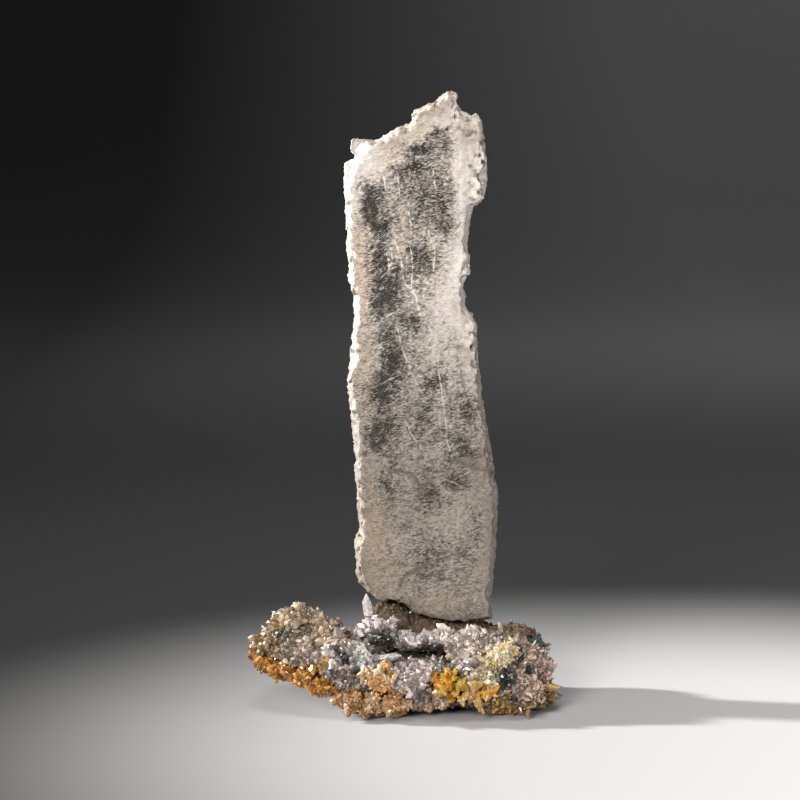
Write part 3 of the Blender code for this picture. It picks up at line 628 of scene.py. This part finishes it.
# Painted shade: the ledge's pits are painted near-black brown, as shade in those hollows.
colour = mix_of(nodes, links, math_of(nodes, links, "MULTIPLY", attribute_of(nodes, "pits"), 1.3, True),
                colour, (0.085, 0.055, 0.035, 1.0))
# Painted shade: the colour darkens towards the blade's foot, to half at 60 mm and below, the rim less.
height = nodes.new("ShaderNodeSeparateXYZ")
links.new(place, height.inputs[0])
depth = spread_of(nodes, links, height.outputs["Z"], 0.060, 0.108, 0.50, 1.0)
colour = mix_of(nodes, links, spread_of(nodes, links, rim, 0.0, 1.0, 1.0, 0.70), colour, depth,
                "MULTIPLY")
# Between the dashes the crystal itself shows: dark, greenish grey and clear.
bare = math_of(nodes, links, "SUBTRACT", 1.0, frost)
colour = mix_of(nodes, links, bare, colour, (0.36, 0.315, 0.265, 1.0))
links.new(colour, shader.inputs["Base Color"])
links.new(spread_of(nodes, links, bare, 0.0, 1.0, 0.04, 0.93), shader.inputs["Transmission Weight"])
links.new(spread_of(nodes, links, bare, 0.0, 1.0, 0.55, 0.22), shader.inputs["Roughness"])
shader.inputs["IOR"].default_value = SELENITE_IOR

bump = nodes.new("ShaderNodeBump")
bump.inputs["Strength"].default_value = 0.6
bump.inputs["Distance"].default_value = 0.22 * MM
links.new(math_of(nodes, links, "ADD", grain, math_of(nodes, links, "MULTIPLY", cleave, 0.4)),
          bump.inputs["Height"])
links.new(bump.outputs["Normal"], shader.inputs["Normal"])
wear(blade, selenite)
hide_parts("selenite_blade")
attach(blade, "root")

# The host rock: a brown, iron-stained plate, dull and rough, which carries the blade. It is skinned
# from the solid, roughened, and left flat where it stands.
ROCK_VOXEL = 0.65 * MM
# Its roughness grows in over this height in millimetres above the flat.
ROUGH_ABOVE = 1.5
# Tan and dark places on it, each a centre and half sizes: a slab at the right, and a deep hollow,
# painted near black as painted shade.
ROCK_PATCHES = {
    "slab": ((28.0, 3.0, 18.5), (8.0, 12.0, 3.0)),
    "hollow": ((3.3, -10.0, 14.0), (14.0, 11.0, 4.5)),
}

rock = merged_copy("host_rock", "brown_rock")
apply_modifier(rock, "Skin", "REMESH", mode="VOXEL", voxel_size=ROCK_VOXEL, use_smooth_shade=True)
places, normals = points_and_normals(rock)
above_seat = np.clip(places[:, 2] / MM / ROUGH_ABOVE, 0.0, 1.0)
rise = 0.75 * roughness_at(places, 4.0, 11.0) + 0.45 * roughness_at(places, 1.6, 12.0) - 0.25
move_points(rock, places + normals * (rise * above_seat * MM)[:, None])
for name, (spot, reach) in ROCK_PATCHES.items():
    apart = (measured(places) - np.array(spot)) / np.array(reach)
    paint(rock, name, np.exp(-(apart ** 2).sum(axis=1)))

rock_look, nodes, links, shader = new_material("host_rock")
place = nodes.new("ShaderNodeTexCoord").outputs["Object"]
patches = noise_of(nodes, links, place, 6.0, (20.0, 10.0, 0.0), (1.0, 1.0, 0.7), 4.0)
grains = noise_of(nodes, links, place, 0.9, (0.0, 0.0, 0.0), (1.0, 1.0, 1.0), 5.0)
specks = noise_of(nodes, links, place, 1.4, (0.0, 0.0, 30.0), (1.0, 1.0, 1.0), 2.0)
# Painted shade: these browns are kept dark, partly the rock's own colour and partly painted shade, as
# most of the rock lies in shade under the crust and blade.
colour = mix_of(nodes, links, spread_of(nodes, links, patches, 0.38, 0.62),
                (0.034, 0.021, 0.014, 1.0), (0.105, 0.066, 0.040, 1.0))
colour = mix_of(nodes, links, spread_of(nodes, links, grains, 0.44, 0.68), colour,
                (0.175, 0.115, 0.078, 1.0))
colour = mix_of(nodes, links, attribute_of(nodes, "slab"), colour, mix_of(
    nodes, links, spread_of(nodes, links, grains, 0.38, 0.6), (0.13, 0.085, 0.04, 1.0),
    (0.40, 0.29, 0.165, 1.0)))
# Painted shade: the hollow under the front ridge is painted near black.
colour = mix_of(nodes, links, attribute_of(nodes, "hollow"), colour, (0.018, 0.012, 0.008, 1.0))
colour = mix_of(nodes, links, spread_of(nodes, links, specks, 0.62, 0.68), colour,
                (0.022, 0.030, 0.024, 1.0))
links.new(colour, shader.inputs["Base Color"])
links.new(spread_of(nodes, links, grains, 0.3, 0.7, 0.62, 0.92), shader.inputs["Roughness"])
bump = nodes.new("ShaderNodeBump")
bump.inputs["Strength"].default_value = 0.8
bump.inputs["Distance"].default_value = 0.4 * MM
links.new(grains, bump.inputs["Height"])
links.new(bump.outputs["Normal"], shader.inputs["Normal"])
wear(rock, rock_look)
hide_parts("host_rock")
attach(rock, "root")

# The quartz crust: a druse of small six-sided quartz points over a lumpy skin, lilac grey in the
# main, stained orange and amber along its lower edge and cream, green black and pink in places. Its
# hollows carry painted shade, and one spot at its left a painted highlight.
# Its skin comes from the solid; its points are copies of one modelled crystal, joined in one mesh.
SPOT_DEPTH = 2.2
DRUSE_GREY = ((0.22, 0.16, 0.125), (0.82, 0.71, 0.65))
DRUSE_LOW = (0.50, 0.29, 0.11)
# Spots of colour: x, y, z, reach in millimetres, the colour and how far it takes over. The near
# black ones in hollows and the dark green ones under the left knob are painted shade; one white lilac
# spot at the left is a painted highlight.
DRUSE_SPOTS_AND_PAINTED_LIGHT = (
    (-28.0, 0.0, 22.0, 7.5, (0.42, 0.33, 0.22), 0.85),
    (-34.5, -3.0, 21.5, 2.6, (0.50, 0.29, 0.075), 0.9),
    (-36.5, -5.0, 17.6, 4.0, (0.25, 0.18, 0.10), 0.9),
    (-37.8, -3.0, 18.5, 2.8, (0.38, 0.21, 0.06), 0.9),
    (-21.5, -4.0, 20.4, 4.0, (0.70, 0.54, 0.39), 0.9),
    (-25.6, -6.0, 19.6, 1.4, (0.80, 0.38, 0.06), 0.9),
    # Painted shade: dark green under the left knob.
    (-32.3, -6.0, 19.0, 2.8, (0.050, 0.085, 0.062), 0.95),
    (-29.6, -11.0, 16.4, 2.6, (0.024, 0.032, 0.025), 0.95),
    (-35.5, -9.0, 16.5, 4.4, (0.30, 0.215, 0.135), 0.85),
    (-27.7, -16.0, 14.5, 5.0, (0.36, 0.27, 0.21), 0.75),
    # Painted highlight: white lilac glints on the druse at the left.
    (-21.5, -16.0, 17.0, 3.0, (0.86, 0.77, 0.76), 0.8),
    (-40.2, -8.0, 14.0, 3.6, (0.36, 0.18, 0.055), 0.9),
    (-36.0, -14.0, 11.4, 4.2, (0.42, 0.22, 0.09), 0.85),
    (-26.0, -19.0, 9.6, 3.6, (0.94, 0.42, 0.04), 0.9),
    (-22.5, -20.0, 5.6, 3.0, (0.66, 0.38, 0.10), 0.9),
    (-15.0, -22.0, 3.8, 4.2, (0.66, 0.36, 0.12), 0.9),
    (-20.5, -17.0, 15.0, 1.6, (0.90, 0.52, 0.07), 0.95),
    (-23.0, -18.0, 12.8, 2.0, (0.72, 0.37, 0.07), 0.9),
    # Painted shade: near black in two hollows of the druse.
    (-16.4, -16.0, 15.6, 2.6, (0.050, 0.042, 0.044), 0.9),
    (-12.5, -18.0, 12.2, 2.4, (0.030, 0.027, 0.025), 0.9),
    (-19.0, -20.0, 9.8, 3.2, (0.24, 0.20, 0.17), 0.85),
    (-9.4, -16.0, 15.4, 4.8, (0.92, 0.89, 0.84), 0.9),
    (-17.0, -21.0, 7.2, 3.0, (0.68, 0.53, 0.46), 0.7),
    (-7.0, 0.0, 22.0, 6.0, (0.88, 0.77, 0.75), 0.85),
    # Painted shade: near black in the cavity under the mound at the blade's foot.
    (-6.2, -8.0, 17.4, 4.0, (0.034, 0.025, 0.016), 0.95),
    (3.0, -6.0, 19.5, 5.6, (0.92, 0.82, 0.80), 0.85),
    (13.0, -6.0, 19.5, 5.6, (0.88, 0.74, 0.66), 0.85),
    # Painted shade: near black in the hollow under the front ridge.
    (0.2, -10.5, 14.9, 2.8, (0.026, 0.016, 0.011), 0.98),
    (4.0, -10.5, 14.6, 3.0, (0.022, 0.014, 0.010), 0.98),
    (8.0, -10.5, 14.3, 2.8, (0.034, 0.021, 0.014), 0.98),
    (2.6, -21.0, 9.6, 6.0, (0.78, 0.66, 0.63), 0.85),
    (3.2, -22.0, 6.2, 2.2, (0.10, 0.08, 0.07), 0.85),
    (8.0, -22.0, 3.6, 3.4, (0.84, 0.60, 0.43), 0.8),
    (-4.0, -22.0, 3.4, 4.4, (0.66, 0.35, 0.10), 0.85),
    (16.0, -18.0, 2.6, 5.4, (0.14, 0.085, 0.040), 0.85),
    (19.5, -20.0, 8.4, 4.4, (0.98, 0.84, 0.58), 0.9),
    (22.0, -14.0, 14.0, 4.6, (0.96, 0.82, 0.54), 0.9),
    (33.3, -14.0, 11.0, 8.4, (0.80, 0.60, 0.49), 0.85),
    (27.0, -19.0, 8.0, 4.6, (0.42, 0.31, 0.25), 0.8),
    (27.8, -15.0, 15.4, 3.2, (0.032, 0.042, 0.030), 0.95),
    (25.0, -18.0, 10.6, 2.8, (0.032, 0.042, 0.032), 0.95),
    (31.0, -15.0, 12.0, 1.5, (0.028, 0.040, 0.030), 0.95),
    (26.6, -20.0, 5.2, 2.4, (0.034, 0.042, 0.030), 0.95),
    (25.0, -19.0, 2.4, 3.6, (0.68, 0.40, 0.11), 0.9),
    (31.5, -18.0, 2.6, 3.4, (0.50, 0.32, 0.16), 0.85),
    (37.5, -10.0, 3.0, 4.4, (0.34, 0.23, 0.09), 0.85),
    (37.9, -12.0, 7.0, 2.0, (0.92, 0.64, 0.18), 0.9),
)
# The points are finer and longer towards the right end, past this x in millimetres, and none grow
# in the hollow under the front ridge: its centre and half sizes.
SPIKY_PAST = 20.0
BARE_HOLLOW = ((3.8, -10.5, 14.8), (8.0, 5.0, 2.4))
# A point's foot is sunk by this share of its width. Its tip may pass the part's box by BOX_MARGIN,
# and neither foot nor tip is lower than FLOOR_MARGIN above the floor.
FOOT_SINK = 0.35
BOX_MARGIN = 0.4 * MM
FLOOR_MARGIN = 0.3 * MM
# Small points are far more common than large ones: the power that their width falls off with.
SMALLNESS = 2.8
# How much one point's mottle and brightness differ from the next one's, and the palest tint.
MOTTLE_VARIES = 0.42
BRIGHTNESS_VARIES = 0.28
PALEST = 0.94


def druse_tints(places, shade):
    """The druse's colour at every place: mottled grey, stained low down, spots, painted shade and
    highlight.
    """
    wander = np.stack([roughness_at(places, 4.0, seed) for seed in (21.0, 22.0, 23.0)], axis=1)
    here = measured(places) + 1.3 * wander
    mottle = np.clip(0.5 + 0.55 * roughness_at(places, 6.0, 24.0) + shade, 0.0, 1.0)[:, None]
    tints = (1.0 - mottle) * np.array(DRUSE_GREY[0]) + mottle * np.array(DRUSE_GREY[1])
    low = np.clip(1.0 - (here[:, 2] - 2.5) / 4.5 + 0.8 * wander[:, 1], 0.0, 1.0)[:, None] * 0.75
    tints = tints * (1.0 - low) + low * np.array(DRUSE_LOW)
    for x, y, z, reach, colour, strength in DRUSE_SPOTS_AND_PAINTED_LIGHT:
        apart = (here - np.array((x, y, z))) / np.array((reach, reach * SPOT_DEPTH, reach))
        cover = (strength * np.clip(1.5 - 1.1 * (apart ** 2).sum(axis=1), 0.0, 1.0))[:, None]
        tints = tints * (1.0 - cover) + cover * np.array(colour)
    return tints


def paint_tints(piece, tints):
    """Writes a colour for each point of the piece, for its material to read."""
    layer = piece.data.color_attributes.new("tint", "FLOAT_COLOR", "POINT")
    layer.data.foreach_set("color", np.column_stack((tints, np.ones(len(tints)))).ravel())


# The modelled crystal, one unit wide and long: its half widths at the foot and at the shoulder, and
# the height of that shoulder. Each copy is flattened and its tip pushed aside by up to so much, and
# it is paler towards the tip: its brightness at the foot, and what is added up to the tip.
FOOT_HALF = 0.5
SHOULDER_HALF = 0.43
SHOULDER_HEIGHT = 0.55
FLATTENED = (0.75, 1.0)
TIP_ASIDE = 0.22
PALER_TO_TIP = (0.70, 0.50)


def crystal_model(name, shoulder):
    """A six-sided quartz point one unit wide and long: its faces taper a little, then meet in a tip."""
    bpy.ops.object.select_all(action="DESELECT")
    bpy.ops.mesh.primitive_cone_add(vertices=6, radius1=FOOT_HALF, radius2=SHOULDER_HALF, depth=shoulder,
                                    location=(0, 0, shoulder / 2))
    bpy.ops.object.transform_apply(location=True)
    model = bpy.context.object
    model.name = name
    top = max(model.data.polygons, key=lambda face: face.center.z)
    for part in (model.data.polygons, model.data.edges, model.data.vertices):
        part.foreach_set("select", [False] * len(part))
    top.select = True
    bpy.ops.object.mode_set(mode="EDIT")
    bpy.ops.mesh.select_mode(type="FACE")
    bpy.ops.mesh.extrude_region_move(TRANSFORM_OT_translate={"value": (0, 0, 1 - shoulder)})
    bpy.ops.mesh.merge(type="CENTER")
    bpy.ops.object.mode_set(mode="OBJECT")
    return model


def scatter(piece, count, seed):
    """Seeded places on a piece's skin, even by area, with the skin's direction at each."""
    mesh = piece.data
    mesh.calc_loop_triangles()
    corners = np.zeros(len(mesh.loop_triangles) * 3, dtype=np.int32)
    mesh.loop_triangles.foreach_get("vertices", corners)
    corners = points_and_normals(piece)[0][corners].reshape(-1, 3, 3)
    across = np.cross(corners[:, 1] - corners[:, 0], corners[:, 2] - corners[:, 0])
    area = np.linalg.norm(across, axis=1)
    rng = np.random.default_rng(seed)
    chosen = rng.choice(len(area), size=count, p=area / area.sum())
    first, second = np.sqrt(rng.random(count)), rng.random(count)
    shares = np.stack((1 - first, first * (1 - second), first * second), axis=1)
    feet = (corners[chosen] * shares[:, :, None]).sum(axis=1)
    return feet, across[chosen] / area[chosen][:, None]


def strew(name, model, feet, axes, widths, lengths, tints, seed):
    """Joined copies of a model: each with its foot, axis, width, length and tint, turned at random."""
    rng = np.random.default_rng(seed)
    shape = np.array([point.co for point in model.data.vertices])
    count, size = len(feet), len(shape)
    side = np.cross(axes, rng.normal(size=(count, 3)))
    side /= np.linalg.norm(side, axis=1)[:, None]
    other = np.cross(axes, side)
    flat = rng.uniform(*FLATTENED, count)[:, None]
    skew = rng.uniform(-TIP_ASIDE, TIP_ASIDE, (count, 1)) * (shape[:, 2] > 0.999)
    local_x = (shape[:, 0] + skew) * widths[:, None]
    local_y = shape[:, 1] * widths[:, None] * flat
    local_z = shape[:, 2] * lengths[:, None]
    places = (feet[:, None, :] + local_x[..., None] * side[:, None, :]
              + local_y[..., None] * other[:, None, :] + local_z[..., None] * axes[:, None, :])
    # Sorted, because the operators leave the model's faces in another order on each run.
    faces = sorted(tuple(face.vertices) for face in model.data.polygons)
    joined = [tuple(corner + copy * size for corner in face) for copy in range(count) for face in faces]
    mesh = bpy.data.meshes.new(name)
    mesh.from_pydata(places.reshape(-1, 3).tolist(), [], joined)
    piece = bpy.data.objects.new(name, mesh)
    bpy.context.scene.collection.objects.link(piece)
    paler = PALER_TO_TIP[0] + PALER_TO_TIP[1] * shape[:, 2]
    tints = (tints[:, None, :] * paler[None, :, None]).reshape(-1, 3)
    paint_tints(piece, tints / np.maximum(1.0, tints.max(axis=1) / PALEST)[:, None])
    return piece


def join_pieces(pieces, name):
    """Joins pieces into the first of them."""
    bpy.ops.object.select_all(action="DESELECT")
    for piece in pieces:
        piece.select_set(True)
    bpy.context.view_layer.objects.active = pieces[0]
    bpy.ops.object.join()
    pieces[0].name = name
    return pieces[0]


def grow_points(name, skin, model, count, widths, stretch, tints_of, seed, splay=0.45, buried=()):
    """Quartz points on a skin: seeded, splayed from its direction, none outside the part's box."""
    rng = np.random.default_rng(seed)
    feet, axes = scatter(skin, count, seed)
    axes = axes + splay * rng.normal(size=axes.shape)
    axes /= np.linalg.norm(axes, axis=1)[:, None]
    wide = widths[0] + (widths[1] - widths[0]) * rng.random(count) ** SMALLNESS
    long = wide * rng.uniform(stretch[0], stretch[1], count)
    spiky = np.clip((measured(feet)[:, 0] - SPIKY_PAST) / 5.0, 0.0, 1.0)
    long *= 1.0 + 0.15 * spiky
    wide = wide * (1.0 - 0.35 * spiky)
    feet = feet - axes * (FOOT_SINK * wide * MM)[:, None]
    tips = feet + axes * (long * MM)[:, None]
    low, high = (np.array(corner) for corner in cad_box)
    keep = ((tips > low - BOX_MARGIN) & (tips < high + BOX_MARGIN)).all(axis=1)
    keep &= (tips[:, 2] > FLOOR_MARGIN) & (feet[:, 2] > FLOOR_MARGIN)
    in_hollow = (measured(feet) - np.array(BARE_HOLLOW[0])) / np.array(BARE_HOLLOW[1])
    keep &= (in_hollow ** 2).sum(axis=1) > 1.0
    for tree, reach in buried:
        near = np.array([tree.find_nearest(Vector(tip), reach)[0] is not None for tip in tips])
        keep &= ~near
    shade = MOTTLE_VARIES * rng.normal(size=count)
    tints = tints_of(feet, shade) * np.exp(BRIGHTNESS_VARIES * rng.normal(size=count))[:, None]
    return strew(name, model, feet[keep], axes[keep], wide[keep] * MM, long[keep] * MM,
                 tints[keep], seed + 1)


QUARTZ_IOR = 1.545


def quartz_material(name, clearness, roughness, depth):
    """A quartz shader: the painted tint, part clear, with glassy facets and fine growth lines."""
    look, nodes, links, shader = new_material(name)
    place = nodes.new("ShaderNodeTexCoord").outputs["Object"]
    tint = nodes.new("ShaderNodeAttribute")
    tint.attribute_name = "tint"
    cloud = noise_of(nodes, links, place, 0.8, (0.0, 0.0, 0.0), (1.0, 1.0, 1.0), 4.0)
    lines = noise_of(nodes, links, place, 0.16, (10.0, 20.0, 0.0), (1.0, 1.0, 4.0), 2.0)
    darker = mix_of(nodes, links, 1.0, tint.outputs["Color"], (depth, depth, depth, 1.0), "MULTIPLY")
    colour = mix_of(nodes, links, spread_of(nodes, links, cloud, 0.36, 0.62), darker,
                    tint.outputs["Color"])
    links.new(colour, shader.inputs["Base Color"])
    links.new(spread_of(nodes, links, cloud, 0.30, 0.70, clearness * 1.4, clearness * 0.5),
              shader.inputs["Transmission Weight"])
    links.new(spread_of(nodes, links, lines, 0.3, 0.7, roughness * 0.5, roughness * 1.8),
              shader.inputs["Roughness"])
    shader.inputs["IOR"].default_value = QUARTZ_IOR
    bump = nodes.new("ShaderNodeBump")
    bump.inputs["Strength"].default_value = 0.25
    bump.inputs["Distance"].default_value = 0.05 * MM
    links.new(lines, bump.inputs["Height"])
    links.new(bump.outputs["Normal"], shader.inputs["Normal"])
    return look


def skin_of(node, name, voxel, smoothing, rises, sink, seed):
    """A CAD node's form with a fine skin: softened, roughened, and sunk to leave the points room."""
    skin = merged_copy(node, name)
    apply_modifier(skin, "Skin", "REMESH", mode="VOXEL", voxel_size=voxel * MM)
    if smoothing:
        apply_modifier(skin, "Soften", "SMOOTH", factor=0.5, iterations=smoothing)
    places, normals = points_and_normals(skin)
    rise = rises[0] * roughness_at(places, 3.4, seed) + rises[1] * roughness_at(places, 1.2, seed + 1)
    rise = (rise - sink) * np.clip(places[:, 2] / MM - 0.4, 0.0, 1.0)
    move_points(skin, places + normals * (rise * MM)[:, None])
    return skin


rock_tree = BVHTree.FromPolygons([point.co for point in rock.data.vertices],
                                 [face.vertices for face in rock.data.polygons])
crystal = crystal_model("crystal_model", SHOULDER_HEIGHT)
crust_skin = skin_of("quartz_crust", "crust_skin", voxel=0.5, smoothing=3, rises=(0.8, 0.6), sink=0.5,
                     seed=31.0)
places, normals = points_and_normals(crust_skin)
# Painted shade: the skin shows between the points and is painted at under half their colour.
paint_tints(crust_skin, 0.45 * druse_tints(places, 0.0))
# No point is kept whose tip lies within this distance of the rock.
NEAR_ROCK = 0.5 * MM
points = grow_points("crust_points", crust_skin, crystal, count=9400, widths=(0.5, 2.1),
                     stretch=(0.7, 1.5), tints_of=druse_tints, seed=32, splay=0.5,
                     buried=((rock_tree, NEAR_ROCK),))
large_points = grow_points("large_crust_points", crust_skin, crystal, count=420, widths=(1.5, 3.3),
                           stretch=(0.9, 1.5), tints_of=druse_tints, seed=34, splay=0.35,
                           buried=((rock_tree, NEAR_ROCK),))
druse_look = quartz_material("druse_quartz", clearness=0.16, roughness=0.17, depth=0.72)
glassy_look = quartz_material("glassy_quartz", clearness=0.42, roughness=0.09, depth=0.85)
for piece, name, look in ((crust_skin, "quartz_crust_skin", druse_look),
                          (points, "quartz_crust_points", druse_look),
                          (large_points, "quartz_crust_large_points", glassy_look)):
    piece.name = name
    wear(piece, look)
    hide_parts("quartz_crust")
    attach(piece, "root")


DIMMED_BROWN = (0.36, 0.27, 0.22)


def bare_rock_tints(places, shade):
    """The druse's colours dimmed and browned, for the sparse points on the bare rock."""
    return druse_tints(places, shade) * np.array(DIMMED_BROWN)


rock_points = grow_points("rock_points", rock, crystal, count=3000, widths=(0.4, 1.3),
                          stretch=(0.7, 1.4), tints_of=bare_rock_tints, seed=36, splay=0.5)
wear(rock_points, druse_look)
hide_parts("host_rock")
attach(rock_points, "root")

# The coloured clusters: each a knot of larger crystals in the crust, with smaller ones at their
# feet. They are skinned and strewn as the crust is, with their own sizes, colours and clearness.
# Per cluster: slot, colours from deep to pale, count, widths, stretch, splay, clearness, shininess.
CLUSTER_LOOKS = {
    "cream_needle_crystals": ("cream_quartz", ((0.80, 0.60, 0.30), (0.98, 0.90, 0.74)),
                              1300, (0.45, 1.0), (1.0, 2.1), 0.55, 0.12, 0.16),
    "orange_crystals_left": ("orange_quartz", ((0.20, 0.080, 0.012), (0.80, 0.40, 0.10)),
                             1100, (0.6, 1.7), (0.7, 1.4), 0.5, 0.18, 0.15),
    "amber_crystals_low": ("orange_quartz", ((0.33, 0.130, 0.018), (0.80, 0.55, 0.34)),
                           800, (0.7, 2.0), (0.7, 1.5), 0.5, 0.20, 0.15),
    "orange_crystals_middle": ("orange_quartz", ((0.90, 0.34, 0.012), (0.98, 0.80, 0.52)),
                               190, (0.7, 2.0), (1.0, 1.9), 0.4, 0.30, 0.11),
    "orange_crystals_right": ("orange_quartz", ((0.92, 0.36, 0.012), (0.98, 0.66, 0.14)),
                              190, (0.7, 2.0), (1.0, 1.9), 0.4, 0.30, 0.11),
    "yellow_crystals_right": ("orange_quartz", ((0.96, 0.48, 0.035), (0.98, 0.84, 0.54)),
                              190, (0.7, 2.0), (1.0, 1.9), 0.4, 0.30, 0.11),
    "dark_crystals_back": ("dark_green_mineral", ((0.012, 0.020, 0.016), (0.12, 0.16, 0.14)),
                           420, (0.6, 1.6), (0.8, 1.6), 0.5, 0.05, 0.20),
}


# In the clusters a point's tip may come this close to the rock.
CLUSTER_NEAR_ROCK = 0.4 * MM


def between(colours):
    """Tints that run from the first colour to the second by place and crystal."""
    def tints_of(places, shade):
        share = np.clip(0.5 + 0.9 * roughness_at(places, 3.0, 41.0) + 0.5 * shade, 0.0, 1.0)[:, None]
        return (1.0 - share) * np.array(colours[0]) + share * np.array(colours[1])
    return tints_of


for number, (node, look) in enumerate(CLUSTER_LOOKS.items()):
    slot, colours, count, widths, stretch, splay, clearness, shine = look
    tints_of = between(colours)
    skin = skin_of(node, node + "_skin", voxel=0.35, smoothing=1, rises=(0.15, 0.12), sink=0.3,
                   seed=50.0 + number)
    places, normals = points_and_normals(skin)
    # Painted shade: the skin between the cluster's points is painted a little darker than they are.
    paint_tints(skin, 0.85 * tints_of(places, 0.0))
    points = grow_points(node + "_points", skin, crystal, count, widths, stretch, tints_of,
                         seed=60 + 3 * number, splay=splay, buried=((rock_tree, CLUSTER_NEAR_ROCK),))
    cluster = join_pieces((skin, points), node + "_druse")
    wear(cluster, quartz_material(node + "_quartz", clearness, roughness=shine, depth=0.7))
    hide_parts(node)
    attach(cluster, "root")

# The single crystals: each large enough to pick out, stubby and clear to smoky, with faint lines
# across its faces. The solid's facets are kept; their edges are rounded.
# Per crystal: its colour and how clear it is.
SINGLE_LOOKS = {
    "stub_crystal_left": ((0.66, 0.56, 0.42), 0.55),
    "stub_crystal_right": ((0.62, 0.52, 0.46), 0.45),
    "plate_crystal": ((0.66, 0.62, 0.56), 0.50),
    "foot_crystal": ((0.70, 0.63, 0.64), 0.30),
    "amber_tip_crystal": ((0.82, 0.58, 0.20), 0.45),
}
EDGE_ROUNDING = 0.12 * MM
ROUNDED_PAST = math.radians(20.0)
for node, (colour, clearness) in SINGLE_LOOKS.items():
    single = merged_copy(node, node + "_glassy")
    apply_modifier(single, "Edges", "BEVEL", width=EDGE_ROUNDING, segments=2, limit_method="ANGLE",
                   angle_limit=ROUNDED_PAST)
    apply_modifier(single, "Cut", "SUBSURF", subdivision_type="SIMPLE", levels=1)
    places, normals = points_and_normals(single)
    shade = 0.30 * roughness_at(places, 1.5, 71.0)
    paint_tints(single, np.array(colour) * (1.0 + shade)[:, None])
    wear(single, quartz_material(node + "_quartz", clearness, roughness=0.12, depth=0.75))
    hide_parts(node)
    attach(single, "root")

bpy.data.objects.remove(crystal)
